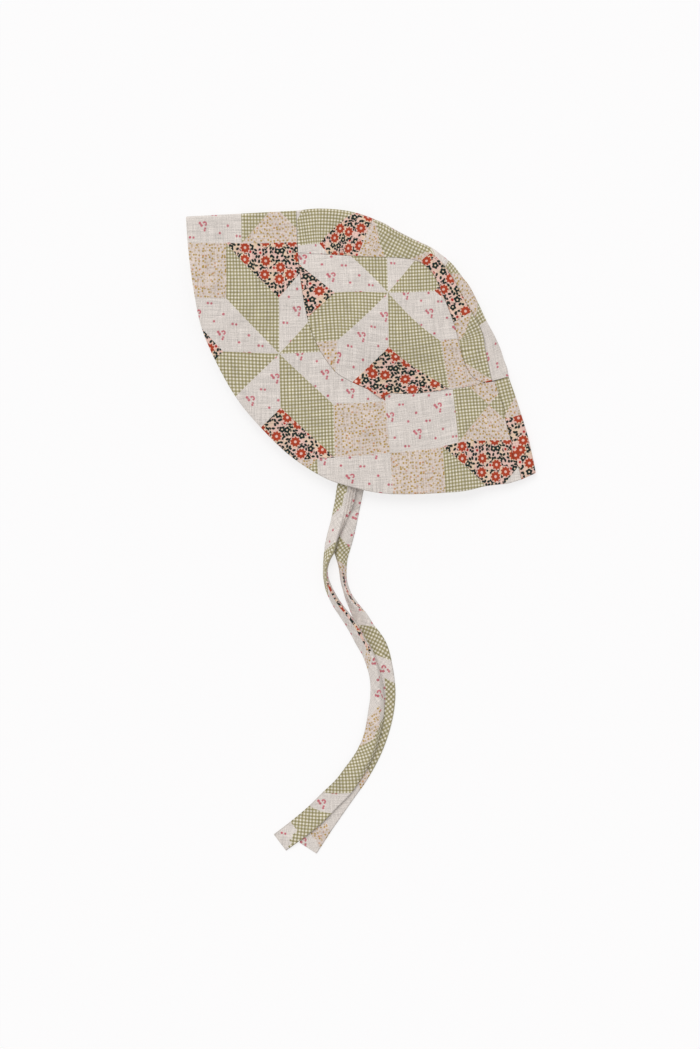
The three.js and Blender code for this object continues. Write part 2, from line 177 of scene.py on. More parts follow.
class PlanLine:
    """A smooth line seen from above, through measured points in millimetres."""

    def __init__(self, points: Sequence[Pair], steps: int = 24) -> None:
        """Lays the line through the points."""
        given = np.array(points, float)
        ends = np.vstack([given[:1], given, given[-1:]])
        share = np.linspace(0.0, 1.0, steps, endpoint=False)[:, None]
        parts = []
        for a, b, c, d in zip(ends, ends[1:], ends[2:], ends[3:]):
            in_pull, out_pull = (c - a) / 2, (d - b) / 2
            cubic = (2 * b - 2 * c + in_pull + out_pull) * share**3
            square = (3 * c - 3 * b - 2 * in_pull - out_pull) * share**2
            parts.append(cubic + square + in_pull * share + b)
        self.points = np.vstack(parts + [given[-1:]])
        steps = np.linalg.norm(np.diff(self.points, axis=0), axis=1)
        self.arc = np.concatenate([[0.0], np.cumsum(steps)])
        self.length = float(self.arc[-1])

    def at(self, share: Values) -> Array:
        """Gives the points at shares of the line's length."""
        reach = np.asarray(share, float) * self.length
        return np.stack([np.interp(reach, self.arc, self.points[:, k]) for k in (0, 1)], axis=-1)

    def nearest(self, places: Array) -> tuple[Array, Array, Array]:
        """Finds the nearest place on the line.

        Args:
            places: Plan points, in any array shape that ends in 2.

        Returns:
            How far each point is, how far along the line its nearest place lies, and on which side it
            is: 1 to the left of the line's way and -1 to the right.
        """
        flat = np.reshape(places, (-1, 2))
        start, way = self.points[:-1], np.diff(self.points, axis=0)
        size = np.maximum((way**2).sum(1), TINY)
        found = np.zeros((len(flat), 3))
        # The points are taken a batch at a time, which keeps the arrays small.
        batch = 1500
        for first in range(0, len(flat), batch):
            gap = flat[first : first + batch, None, :] - start[None]
            share = np.clip((gap * way).sum(2) / size, 0.0, 1.0)
            square = ((gap - share[..., None] * way) ** 2).sum(2)
            best = square.argmin(1)
            row = np.arange(len(best))
            turn = way[best, 0] * gap[row, best, 1] - way[best, 1] * gap[row, best, 0]
            along = self.arc[best] + share[row, best] * np.sqrt(size[best])
            side = np.where(turn < 0, -1.0, 1.0)
            found[first : first + batch] = np.column_stack([np.sqrt(square[row, best]), along, side])
        return tuple(found[:, k].reshape(np.shape(places)[:-1]) for k in range(3))


class PrintWarp:
    """Says which place of the printed cloth lies at a place of the hat, from a few pins between the two."""

    def __init__(self, pins: Sequence[tuple[Pair, Pair]], slack: float) -> None:
        """Bends the print through the pins.

        Args:
            pins: Pairs of a plan point in millimetres and its place in the print, in squares.
            slack: How far the bend may leave the pins for the sake of smoothness.
        """
        self.places = np.array([place for place, _ in pins], float) / PIN_SCALE
        values = np.array([value for _, value in pins], float)
        count = len(pins)
        flat = np.hstack([np.ones((count, 1)), self.places])
        left = np.zeros((count + 3, count + 3))
        left[:count, :count] = self._bend(self.places) + slack * np.eye(count)
        left[:count, count:] = flat
        left[count:, :count] = flat.T
        self.weights = np.linalg.solve(left, np.vstack([values, np.zeros((3, 2))]))
        self.plain = np.linalg.lstsq(flat, values, rcond=None)[0]

    def _bend(self, places: Array) -> Array:
        """Gives the thin plate's bend between places and the pins."""
        square = ((places[..., None, :] - self.places) ** 2).sum(-1)
        return 0.5 * square * np.log(np.maximum(square, TINY))

    def at(self, places: Array) -> Array:
        """Gives the print's places under plan points."""
        scaled = places / PIN_SCALE
        return self._bend(scaled) @ self.weights[:-3] + self.weights[-3] + scaled @ self.weights[-2:]

    def straight(self, places: Array) -> Array:
        """Gives the print's places as if the cloth lay without any bend."""
        return self.plain[0] + (places / PIN_SCALE) @ self.plain[1:]


@dataclass
class Cloth:
    """One cut of cloth as a closed shell: grids for its outer and inner faces, and its print.

    A grid has more than one print where the cloth's faces are cut from different places, and then chosen
    says for each face which print it takes. Rim is each point's distance from a seam or an edge, near which
    the finish paints shade.
    """

    outer: Array
    inner: Array
    prints: list[Array]
    chosen: Array
    rim: Array
    ring: bool = False

    def build(self, name: str, materials: Sequence[Material]) -> Piece:
        """Makes the shell's mesh.

        Args:
            name: The piece's name.
            materials: The outer and the inner finish.

        Returns:
            The new piece, with its print's places in the map named cloth.
        """
        rows, columns = self.outer.shape[:2]
        points = np.vstack([self.outer.reshape(-1, 3), self.inner.reshape(-1, 3)]) * MM
        across = columns if self.ring else columns - 1
        grid = np.meshgrid(np.arange(rows - 1), np.arange(across), indexing="ij")
        i, j = (part.ravel() for part in grid)
        four = [(i, j), (i, j + 1), (i + 1, j + 1), (i + 1, j)]
        index = [a * columns + b % columns for a, b in four]
        prints = np.stack(self.prints)
        picked = self.chosen[i, j]
        spots = [prints[picked, a, b] for a, b in four]
        size = rows * columns
        quads = [np.stack(index, 1), np.stack([k + size for k in index[::-1]], 1)]
        maps = [np.stack(spots, 1), np.stack(spots[::-1], 1)]
        kinds = [np.zeros(len(i), int), np.ones(len(i), int)]

        def close(ends: Sequence[tuple[Array, Array]]) -> None:
            """Joins the outer face to the inner one along a rim, from its points and their print places."""
            (a, spot_a), (b, spot_b) = ends
            quads.append(np.stack([b, a, a + size, b + size], 1))
            maps.append(np.stack([spot_b, spot_a, spot_a, spot_b], 1))
            kinds.append(np.zeros(len(a), int))

        edge = np.arange(across)
        for row, way in ((0, 1), (rows - 1, -1)):
            face = self.chosen[min(row, rows - 2), edge]
            close([(row * columns + k % columns, prints[face, row, k]) for k in (edge, edge + 1)][::way])
        if not self.ring:
            side = np.arange(rows - 1)
            for column, way in ((0, -1), (columns - 1, 1)):
                face = self.chosen[side, min(column, columns - 2)]
                close([(k * columns + column, prints[face, k, column]) for k in (side, side + 1)][::way])
        quad, spot, kind = np.vstack(quads), np.vstack(maps), np.concatenate(kinds)
        a, b, c, d = (points[quad[:, k]] for k in range(4))
        volume = (np.cross(a, b) * c).sum() + (np.cross(a, c) * d).sum()
        if volume < 0:
            quad, spot = quad[:, ::-1], spot[:, ::-1]
        rim = np.concatenate([self.rim.ravel(), self.rim.ravel()])
        return make_piece(name, points, quad, spot, kind, rim, materials)


def make_piece(
    name: str,
    points: Array,
    quads: Array,
    spots: Array,
    kinds: Array,
    rim: Array,
    materials: Sequence[Material],
) -> Piece:
    """Makes a mesh object from four-cornered faces.

    Args:
        name: The piece's name.
        points: Its points, in metres.
        quads: Four point numbers a face, turned outwards.
        spots: The print's place at each corner of each face.
        kinds: The material of each face.
        rim: How far each point lies from a seam or an edge, in millimetres, for the painted shade near them.
        materials: The finishes.

    Returns:
        The new piece, shaded smooth.
    """
    mesh = bpy.data.meshes.new(name)
    mesh.from_pydata(points.tolist(), [], quads.tolist())
    cloth = mesh.uv_layers.new(name="cloth")
    cloth.data.foreach_set("uv", np.ascontiguousarray(spots, dtype=np.float32).ravel())
    mesh.polygons.foreach_set("material_index", kinds.astype(np.int32))
    mesh.attributes.new("rim", "FLOAT", "POINT").data.foreach_set("value", rim.astype(np.float32))
    for material in materials:
        mesh.materials.append(material)
    piece = bpy.data.objects.new(name, mesh)
    bpy.context.scene.collection.objects.link(piece)
    bpy.ops.object.select_all(action="DESELECT")
    piece.select_set(True)
    bpy.context.view_layer.objects.active = piece
    bpy.ops.object.mode_set(mode="EDIT")
    bpy.ops.mesh.select_all(action="SELECT")
    bpy.ops.mesh.remove_doubles(threshold=MERGE_GAP)
    bpy.ops.mesh.dissolve_degenerate(threshold=SLIVER)
    bpy.ops.object.mode_set(mode="OBJECT")
    bpy.ops.object.shade_smooth_by_angle(angle=SHARP_ANGLE)
    piece.select_set(False)
    return piece


@dataclass
class HatPlan:
    """The flat hat seen from above, in millimetres: its outlines, seams, folds and heights."""

    crown_outline: tuple[Pair, ...] = (
        (-85.6, 48.3), (-74.0, 58.6), (-57.3, 68.6), (-37.9, 75.0), (-27.0, 76.5), (-13.4, 78.8),
        (-2.0, 81.2), (5.6, 81.4), (16.0, 80.8), (25.8, 78.1), (33.4, 76.0), (43.3, 71.2), (54.8, 65.0),
        (65.3, 60.2), (73.6, 55.6), (80.3, 50.9), (84.4, 48.4), (88.9, 44.3),
    )
    head_seam: tuple[Pair, ...] = (
        (-85.6, 48.3), (-68.0, 26.8), (-51.6, 9.2), (-34.9, -5.7), (-20.1, -14.7), (-6.3, -19.7),
        (0.9, -20.5), (10.6, -19.2), (20.9, -16.8), (30.2, -13.1), (34.3, -9.9), (43.3, -3.9), (51.4, 3.2),
        (63.2, 14.6), (72.0, 23.7), (78.9, 31.7), (83.2, 36.5),
    )
    # The upper panel's hem follows the head seam, but hangs over it where the panel laps over the brim.
    panel_hem: tuple[Pair, ...] = head_seam[1:8] + (
        (17.5, -17.6), (23.0, -16.9), (28.2, -16.9), (31.5, -16.4), (32.6, -13.1), (34.9, -9.6),
        (43.3, -3.9), (51.4, 3.2), (63.2, 14.6), (72.0, 23.7), (76.4, 28.7), (78.9, 31.7),
    )
    strip_seam: tuple[Pair, ...] = (
        (-68, 26.8), (-51.2, 37.7), (-32.3, 50.2), (-12.6, 63.7), (-1.9, 68.8), (8.8, 68.2), (19.5, 63),
        (39.1, 50.8), (50.8, 41.4), (60.0, 34.4), (66.6, 31.0), (72.6, 30.0), (78.9, 31.7),
    )
    tuck_line: tuple[Pair, ...] = (
        (-0.9, 79.3), (4.9, 78.0), (12.6, 76.4), (22.0, 73.0), (32.3, 68.2), (36.9, 66.4), (56.4, 57.6),
        (66.2, 48.8), (75.8, 40.6), (81.6, 36.1),
    )
    brim_edge: tuple[Pair, ...] = (
        (-140.5, 2.6), (-123.9, -16.2), (-104.3, -35.7), (-88.3, -49.5), (-67.1, -61.8), (-43.2, -72.2),
        (-18.7, -78.1), (5.3, -81.1), (28.5, -79.9), (45.3, -75.4), (72, -62.7), (105.9, -35.9),
        (119.2, -21.2), (131.3, -9.7), (135.0, -4.1),
    )
    back_seam: tuple[Pair, ...] = (
        (83.2, 36.5), (93.3, 29.2), (97.2, 27.3), (102.1, 21.9), (108.0, 17.2), (114.3, 12.1), (122.1, 3.9),
        (127.9, 1.7), (135.0, -4.1),
    )
    back_fold: tuple[Pair, ...] = (
        (88.9, 44.3), (91.8, 42.2), (100.0, 36.7), (110.6, 29.1), (121.7, 20.9), (132.6, 11.7), (140.1, 4.9),
    )
    # Where along the crown's outline the tuck starts.
    tuck_start: float = 91.0
    # How thick the cloth is, how wide its folds bend, and how far its upper layer rises above them.
    crown_cloth: float = 1.4
    brim_cloth: float = 1.8
    crown_fold: float = 4.2
    brim_fold: float = 2.3
    crown_rise: float = 12.0
    brim_rise: float = 4.8
    # How far from a seam the cloth starts to roll down into it, and how deep it goes.
    seam_roll: float = 0.42
    seam_depth: float = 0.34
    # How far the crown takes to rise from the head seam, how far from a fold the whole layer takes to rise
    # and the fold's own height to settle, and where the swells of the cloth start and how high they are.
    crown_run: float = 40.0
    rise_run: float = 58.0
    settle_run: float = 35.0
    swell_run: float = 14.0
    swell_height: float = 0.42

    def __post_init__(self) -> None:
        """Lays the smooth lines through the measured points."""
        self.crown = PlanLine(self.crown_outline)
        self.head = PlanLine(self.head_seam)
        self.hem = PlanLine(self.panel_hem)
        self.strip = PlanLine(self.strip_seam)
        self.tuck = PlanLine(self.tuck_line)
        self.edge = PlanLine(self.brim_edge)
        self.seam_back = PlanLine(self.back_seam)
        self.fold_back = PlanLine(self.back_fold)
        self.fold_front = PlanLine((self.brim_edge[0], self.crown_outline[0]))

    def fold_radius(self, share: Array) -> Array:
        """Gives how wide the crown's fold bends at shares of the way along it."""
        return mix(self.brim_fold, self.crown_fold, smooth(np.minimum(share, 1.0 - share) * 4.0))

    def upper_height(self, places: Array, on_crown: bool) -> Array:
        """Gives how high the outside of the upper layer lies.

        Args:
            places: Plan points, in millimetres.
            on_crown: Whether they lie on the crown, which is fuller than the brim.

        Returns:
            The heights above the surface that the hat lies on.
        """
        near = [line.nearest(places) for line in (self.crown, self.fold_front, self.fold_back)]
        gaps = np.stack([gap for gap, _, _ in near])
        gap = gaps.min(0)
        radius = self.fold_radius(near[0][1] / self.crown.length)
        radius = np.where(gaps.argmin(0) == 0, radius, self.brim_fold)
        rise: Values = self.brim_rise
        if on_crown:
            inside = self.head.nearest(places)[0]
            rise = mix(self.brim_rise, self.crown_rise, smooth(inside / self.crown_run))
        swell = relief(places, self.swell_height) * smooth(gap / self.swell_run)
        fold = 2.0 * mix(radius, self.brim_fold, smooth(gap / self.settle_run))
        return fold + rise * smooth((gap - radius) / self.rise_run) + swell

    def seam_fall(self, distance: Array) -> Array:
        """Gives how far the cloth rolls down beside a seam."""
        return rolled(distance, self.seam_roll, self.seam_depth)

    def puckers(self, along: Array, gap: Array, height: float = 0.1) -> Array:
        """Gives the small ripples that sewing draws into the cloth beside a seam."""
        uneven = 0.6 + 0.4 * np.sin(along * 0.083 + 1.0)
        beat = np.sin(along * 1.37 + 1.2 * np.sin(along * 0.21)) * uneven
        return height * beat * np.exp(-gap / 2.6) * smooth(gap / 0.8)


@dataclass
class Crown:
    """The crown: a centre strip folded along its middle, and a D-shaped panel on each side of the head."""

    plan: HatPlan
    materials: Sequence[Material]
    # The panels' columns and the strip's further ones, and the rows of each part.
    columns: int = 190
    more_columns: int = 30
    strip_rows: int = 22
    panel_rows: int = 74
    fold_rows: int = 18
    under_rows: int = 8
    # How far the strip steps down at the tuck and over what length the tuck forms, how its lip rolls, and
    # how wide the strip still shows past it.
    tuck_drop: float = 0.95
    tuck_run: float = 14.0
    lip_reach: float = 0.5
    lip_depth: float = 0.3
    narrowest_band: float = 1.2
    band_fullness: float = 0.97
    # How high the panel's hem laps over the brim, where that starts and over what length, and how thick
    # the hem is there.
    lap_rise: float = 1.1
    lap_reach: Pair = (2.6, 3.0)
    lap_cloth: float = 0.85
    # The distance given to points that no seam or edge is near.
    far_from_rim: float = 9.0
    # Where in the print the lower panel starts, in squares.
    lower_print: Pair = (1.3, 2.4)
    # The strip's print: where it starts along the fold and how far it is pulled back at the front corner, in
    # squares, over what length in millimetres, which line of it lies on the fold, and how it steps at the
    # tuck, along it in squares and across it in millimetres.
    strip_start: float = 0.5514
    strip_pull: Pair = (0.07, 4.0)
    strip_line: float = -0.667
    tuck_step: float = 0.318
    tuck_level: float = -5.8
    panel_pins: Pins = (
        ((-5.9, 40.4), (0, 0)), ((-19.9, 58.3), (0, -0.65)), ((-37.3, 45.1), (-0.65, -0.65)),
        ((-33.3, 19.9), (-1, 0)), ((17.3, 59.7), (1, 0)), ((15.5, 12.6), (0, 1)), ((-13.6, -3.5), (-1, 1)),
        ((39.9, 35.9), (1, 1)), ((62.6, 14.7), (1, 2)), ((-37.9, -2.5), (-1.46, 0.46)),
        ((10.4, -17.3), (-0.63, 1.63)),
    )
    # How far from a panel's seams the close rows and columns lie.
    close: tuple[float, ...] = (0.0, 0.1, 0.24, 0.45, 0.8, 1.4, 2.4)

    def build_panels(self) -> list[Piece]:
        """Makes the two side panels.

        Returns:
            The upper and the lower panel.
        """
        return [self._panel("upper_side_panel", True), self._panel("lower_side_panel", False)]

    def _panel(self, name: str, upper: bool) -> Piece:
        """Makes one side panel, from the strip's seam down to the head seam.

        Args:
            name: The piece's name.
            upper: Whether it is the one on top.

        Returns:
            The panel.
        """
        plan, warp = self.plan, PrintWarp(self.panel_pins, PRINT_SLACK)
        share = spaced(plan.strip.length, self.close, self.columns) / plan.strip.length
        top = plan.strip.at(share)
        if upper:
            base = plan.hem.at(share)
        else:
            ends = [np.array(plan.strip_seam[k]) for k in (0, -1)]
            start, end = (plan.head.nearest(point)[1] / plan.head.length for point in ends)
            base = plan.head.at(mix(start, end, share))
        length = np.linalg.norm(base - top, axis=1)
        # At both tips the column has no length.
        sizes = np.maximum(length, 1e-3)
        rows = np.stack([spaced(size, self.close, self.panel_rows) / size for size in sizes], axis=1)
        places = mix(top[None], base[None], rows[..., None])
        near_top, near_base = rows * length, (1.0 - rows) * length
        # How far each point lies from the panel's seams, which the finish darkens with painted shade.
        rim = np.minimum(near_top, near_base)
        fall = plan.seam_fall(rim)
        if upper:
            _, along_top, _ = plan.strip.nearest(places)
            gap_base, along_base, side = plan.head.nearest(places)
            # The hem laps over the brim where it passes the head seam.
            past = np.where(side < 0, gap_base, -gap_base)
            before, reach = self.lap_reach
            share_past = smooth(np.maximum(past[-1], 0.0))[None, :]
            lap = share_past * smooth((past + before) / reach) * self.lap_rise
            height = plan.upper_height(places, True) + plan.puckers(along_top, near_top)
            height = height + plan.puckers(along_base, near_base) - fall
            wall = mix(plan.crown_cloth, self.lap_cloth, smooth(lap / self.lap_rise))
            outer = np.dstack([places, height + lap])
            inner = np.dstack([places, height + lap - wall + np.minimum(fall, 0.2)])
            prints = warp.at(places)
        else:
            outer = np.dstack([places, fall])
            inner = np.dstack([places, np.full(fall.shape, plan.crown_cloth)])
            prints = warp.straight(places) * (1.0, -1.0) + self.lower_print
        chosen = np.zeros((rows.shape[0] - 1, rows.shape[1] - 1), int)
        return Cloth(outer, inner, [prints], chosen, rim).build(name, self.materials)

    def _section(self, size: float, bend: float, band: float, tucked: float) -> Array:
        """Lays one column of the strip: to the tuck, down to the fold, round it, and back underneath.

        Args:
            size: How far the strip's seam lies inside the outline there.
            bend: The fold's radius.
            band: How far inside the outline the tuck lies.
            tucked: How far the tuck is formed.

        Returns:
            For each point how far it lies inside the outline, how far it has turned round the fold, how
            far it lies along its own part, and that part's number, from 0 for the near side to 3 underneath.
        """
        near = spaced(size - band, self.close, self.strip_rows)
        start = max(band - 0.3 * tucked, 0.3)
        lean = math.asin(np.clip(1.0 - start / bend, 0.0, 1.0))
        flat = max(start - bend, 0.0)
        arc = np.linspace(0.0, flat + bend * (math.pi / 2 - lean), self.fold_rows)
        angle = lean + np.clip(arc - flat, 0.0, None) / bend
        off = np.where(arc < flat, start - arc, bend * (1.0 - np.sin(angle)))
        under = np.linspace(math.pi / 2, math.pi, self.under_rows)[1:]
        back = spaced(size - bend, self.close, self.strip_rows)[1:]
        parts = [
            (size - near, np.zeros_like(near), near),
            (off, angle, arc),
            (bend * (1.0 - np.sin(under)), under, arc[-1] + bend * (under - math.pi / 2)),
            (bend + back, np.full_like(back, math.pi), arc[-1] + bend * math.pi / 2 + back),
        ]
        number = np.concatenate([np.full(len(part[0]), n) for n, part in enumerate(parts)])
        return np.vstack([np.concatenate([part[n] for part in parts]) for n in range(3)] + [number])

    def build_strip(self) -> Piece:
        """Makes the centre strip, which is folded along its middle.

        Returns:
            The strip.
        """
        plan = self.plan
        reach = spaced(plan.crown.length, self.close, self.columns + self.more_columns)
        share = reach / plan.crown.length
        seam, out = plan.strip.at(share), plan.crown.at(share)
        length = np.linalg.norm(out - seam, axis=1)
        way = (out - seam) / length[:, None]
        radius = plan.fold_radius(share)
        tucked = smooth((reach - plan.tuck_start) / self.tuck_run)
        to_tuck = plan.tuck.nearest(out)[0] / self.band_fullness
        band = mix(radius, np.maximum(to_tuck, self.narrowest_band), tucked)
        columns = [self._section(*each) for each in zip(length, radius, band, tucked)]
        inward, angle, arc, part = np.stack(columns, axis=2)
        near, step, under = part == 0, part == 1, part == 3
        bend, pleat = radius[None, :], tucked[None, :]
        facing_up = np.maximum(np.cos(angle), 0.0)
        places = out[None] - way[None] * inward[..., None]
        near_height = plan.upper_height(places, True)
        from_seam = np.where(near, arc, length - inward)
        from_tuck = np.maximum(np.where(near, length - band - arc, 0.0), 0.0)
        gap_ends = np.minimum(share, 1.0 - share)[None, :] * plan.crown.length + np.zeros_like(arc)
        rim = np.minimum(np.where(near | under, from_seam, self.far_from_rim), gap_ends)
        fall = plan.seam_fall(rim)
        _, along_seam, _ = plan.strip.nearest(places)
        lip = rolled(from_tuck, self.lip_reach, self.lip_depth) * pleat
        first = near_height + plan.puckers(along_seam, from_seam) - fall - np.where(near, lip, 0.0)
        second = bend + bend * np.cos(angle) - pleat * self.tuck_drop * facing_up
        second = second - np.where(under, -fall, fall)
        tuck_row = int(near[:, 0].sum()) - 1
        crest = near_height[tuck_row][None, :] - 2.0 * bend
        second = second + np.where(step, crest * facing_up, 0.0)
        height = np.where(near, first, second)
        outer = np.dstack([places, height])
        wall = plan.crown_cloth
        inside = inward + wall * np.where(near | under, 0.0, np.sin(angle))
        lift = np.where(near, -wall, np.where(under, wall, -wall * np.cos(angle)))
        inner = np.dstack([out[None] - way[None] * inside[..., None], height + lift])
        prints = self._strip_prints(places, arc, part, share, tucked, radius)
        chosen = np.zeros((part.shape[0] - 1, part.shape[1] - 1), int)
        chosen[tuck_row:] = 1
        # Along the tuck the painted seam shade also falls on the near side's lip and on the step.
        from_step = np.where(near, from_tuck, np.where(step, arc + 0.1, self.far_from_rim))
        beside_tuck = np.where(near | step, mix(self.far_from_rim, from_step, pleat), self.far_from_rim)
        shell = Cloth(outer, inner, prints, chosen, np.minimum(rim, beside_tuck))
        return shell.build("centre_strip", self.materials)

    def _strip_prints(
        self, places: Array, arc: Array, part: Array, share: Array, tucked: Array, radius: Array
    ) -> list[Array]:
        """Lays the print along the strip, once for its near side and once for what lies past the tuck.

        Args:
            places: Plan points of the strip's grid.
            arc: How far each lies along its own part of the section.
            part: The part of the section, from the near side, 0, to the underside, 3.
            share: Each column's share of the outline.
            tucked: How far the tuck is formed at each column.
            radius: Each column's fold radius.

        Returns:
            The two maps, in squares of the print.
        """
        plan = self.plan
        start, line, (pull, fade) = self.strip_start, self.strip_line, self.strip_pull
        middle = PlanLine(plan.crown_outline[:7] + ((3.5, 80.2),) + plan.tuck_line[2:])
        gap, along, side = middle.nearest(places)
        gap = np.where(side < 0, gap, -gap)
        near = np.dstack([along / SQUARE + start - pull * np.exp(-along / fade), line + gap / SQUARE])
        reach = share[None, :] * plan.crown.length + np.zeros_like(arc)
        level = mix(radius, self.tuck_level, tucked)[None, :] - np.where(part == 0, 0.0, arc)
        step = self.tuck_step * tucked[None, :]
        far = np.dstack([reach / SQUARE + start - step, line + level / SQUARE])
        return [near, far]


@dataclass(frozen=True)
class BrimColumn:
    """One column of the brim's grid, from the head seam to the outer edge."""

    places: Array
    angle: float = 0.0
    upper: bool = True
    past_seam: bool = False
    gap_seam: float = 99.0


@dataclass
class Brim:
    """The brim: one doubled ring of cloth, folded flat at front and back and seamed at the centre back."""

    plan: HatPlan
    materials: Sequence[Material]
    # The depth that the rows are spaced for.
    depth: float = 88.0
    upper_columns: int = 230
    lower_columns: int = 120
    middle_rows: int = 34
    bend_steps: int = 9
    # Over which share of the brim its columns take on the back seam's bow, how high the puckers beside the
    # back seam and the edge are, and how thick the edge's roll leaves the cloth on each side.
    bow_run: float = 0.15
    pucker: float = 0.07
    edge_roll_left: float = 0.03
    # The shares of the head seam and the edge at which the even columns start and end.
    front_share: float = 0.03
    back_shares: Pair = (0.975, 0.97)
    # How far from the back seam the close columns lie, before it and past it.
    gaps_before: tuple[float, ...] = (4.0, 2.4, 1.5, 1.0, 0.7, 0.45, 0.24, 0.1, 0.0)
    gaps_past: tuple[float, ...] = (0.1, 0.24, 0.45, 0.7, 1.0)
    pins: Pins = (
        ((-109.2, 4.3), (-1, -2)), ((-100.9, 10.1), (-0.667, -2)), ((-87.4, -24.5), (-1, -1)),
        ((-60.3, -3.9), (0, -1)), ((-68.4, -53.1), (-1, 0)), ((-38.6, -32.6), (0, 0)),
        ((-17.1, -60.0), (0, 1)), ((8.8, -38.0), (1, 1)), ((34.3, -16.3), (2, 1)), ((64.8, 15.6), (3.333, 1)),
        ((30.1, -64.8), (1, 2)), ((56.7, -41.1), (2, 2)), ((81.4, -17.8), (3, 2)), ((88.1, -9.4), (3.333, 2)),
        ((89.3, 22.0), (4, 1.333)), ((111.9, 10.4), (4.3, 2)), ((73.4, -60.6), (2, 2.74)),
        ((100.6, -40.3), (3, 2.86)),
    )
    # The far side's own print: a place on the band past the seam, its place in the print, the print's way
    # there, and from where on it takes over from the mirrored print, along X.
    band_spot: Pair = (101.8, 19.4)
    band_print: Pair = (4.667, -7.333)
    band_way: Pair = (-0.629, -0.778)
    band_from: Pair = (-30.0, 100.0)
    bent_run: float = 40.0
    # How far from the head seam and the edge the close rows lie.
    close: tuple[float, ...] = (0.0, 0.1, 0.24, 0.45, 0.7, 1.0, 1.6)

    def __post_init__(self) -> None:
        """Lays the lines between which the ring's columns lie."""
        plan = self.plan
        self.row_shares = spaced(self.depth, self.close, self.middle_rows) / self.depth
        self.front = plan.fold_front.at(1.0 - self.row_shares)
        self.back = plan.fold_back.at(self.row_shares)
        self.seam = plan.seam_back.at(self.row_shares)
        self.front_target = self._across(self.front_share)

    def _across(self, share: float) -> Array:
        """Gives a straight column from the head seam to the edge, at a share of both."""
        return mix(self.plan.head.at(share), self.plan.edge.at(share), self.row_shares[:, None])

    def _columns(self) -> list[BrimColumn]:
        """Lays the ring's columns: over the top to the back, round its fold, underneath, and round the front.

        Returns:
            The columns in order.
        """
        fold, front, back, seam = self.plan.brim_fold, self.front, self.back, self.seam
        inner_front = self.front_target
        front_size = np.linalg.norm(inner_front - front, axis=1)
        bow = seam - mix(seam[:1], seam[-1:], self.row_shares[:, None])
        columns = []
        for step in np.linspace(0.0, 1.0, 5)[:-1]:
            columns.append(BrimColumn(towards(front, inner_front, mix(fold, front_size, step))))
        for share in np.linspace(self.front_share, self.back_shares[0], self.upper_columns):
            columns.append(BrimColumn(self._across(share) + bow * smooth((share - 1.0) / self.bow_run + 1.0)))
        last = columns[-1].places
        last_size = np.linalg.norm(last - seam, axis=1)
        for gap in self.gaps_before:
            reach = np.minimum(gap, last_size * gap / 5.0) if gap > 1.0 else gap
            columns.append(BrimColumn(towards(seam, last, reach), gap_seam=gap))
        for gap in self.gaps_past:
            columns.append(BrimColumn(towards(seam, back, gap), past_seam=True, gap_seam=gap))
        band_size = np.linalg.norm(back - seam, axis=1)
        for step in np.linspace(0.0, 1.0, 6)[1:]:
            places = towards(back, seam, mix(band_size - 1.0, fold, step))
            columns.append(BrimColumn(places, past_seam=True, gap_seam=2.0 + 5.0 * step))
        for angle in np.linspace(0.0, math.pi, self.bend_steps + 1)[1:]:
            places = towards(back, seam, fold * (1.0 - math.sin(angle)))
            columns.append(BrimColumn(places, angle, False, True))
        target = self._across(self.back_shares[1])
        size = np.linalg.norm(target - back, axis=1)
        below = [towards(back, target, mix(fold, size, step)) for step in np.linspace(0.0, 1.0, 6)[1:-1]]
        for share in np.linspace(self.back_shares[1], self.front_share, self.lower_columns):
            below.append(self._across(share))
        for step in np.linspace(1.0, 0.0, 5)[1:]:
            below.append(towards(front, inner_front, mix(fold, front_size, step)))
        columns += [BrimColumn(places, math.pi, False, True) for places in below]
        for angle in np.linspace(math.pi, 0.0, self.bend_steps + 1)[1:-1]:
            places = towards(front, inner_front, fold * (1.0 - math.sin(angle)))
            columns.append(BrimColumn(places, angle, False, bool(angle >= math.pi / 2)))
        return columns

    def build(self) -> Piece:
        """Makes the brim as one ring of columns.

        Returns:
            The brim.
        """
        plan, row = self.plan, self.row_shares[:, None]
        columns = self._columns()
        places = np.stack([column.places for column in columns], axis=1)
        whole = np.ones(places.shape[:2])
        angle = whole * [column.angle for column in columns]
        upper = np.array([column.upper for column in columns])[None, :]
        past = np.array([column.past_seam for column in columns])
        gap_seam = whole * [column.gap_seam for column in columns]
        from_head, from_edge = row * self.depth * whole, (1.0 - row) * self.depth * whole
        half, wall = plan.brim_cloth / 2, plan.brim_cloth
        fall_seam = plan.seam_fall(from_head) + plan.seam_fall(gap_seam)
        fall_edge = rolled(from_edge, half, half - self.edge_roll_left)
        _, along, _ = plan.head.nearest(places)
        flat = plan.upper_height(places, False) + plan.puckers(along, from_head)
        flat = flat + plan.puckers(along, gap_seam, self.pucker)
        flat = flat + plan.puckers(along * 1.1 + 5.0, from_edge, self.pucker)
        cos, sin = np.cos(angle), np.sin(angle)
        base = np.where(upper, flat, plan.brim_fold + plan.brim_fold * cos)
        inward = self._inward(places)
        faces = []
        # How deep each face lies in the cloth, which is downwards on top and upwards underneath.
        for deep in (np.minimum(fall_seam + fall_edge, half), wall - fall_edge):
            height = np.where(upper, base - deep, base - deep * cos)
            faces.append(np.dstack([places + inward * (deep * sin)[..., None], height]))
        across = np.arange(len(columns))
        after = int(np.argmax(past)) - 1
        turned = len(columns) - self.bend_steps // 2 - 1
        face = ((across >= after) & (across < turned)).astype(int)
        chosen = np.repeat(face[None, :], len(row) - 1, axis=0)
        # How far each point lies from the head seam, the edge and the back seam, which the finish darkens
        # with painted shade; the edge gets less.
        rim = np.minimum(np.minimum(from_head, from_edge + 0.6), gap_seam)
        shell = Cloth(*faces, self._prints(places, angle), chosen, rim, ring=True)
        return shell.build("doubled_brim", self.materials)

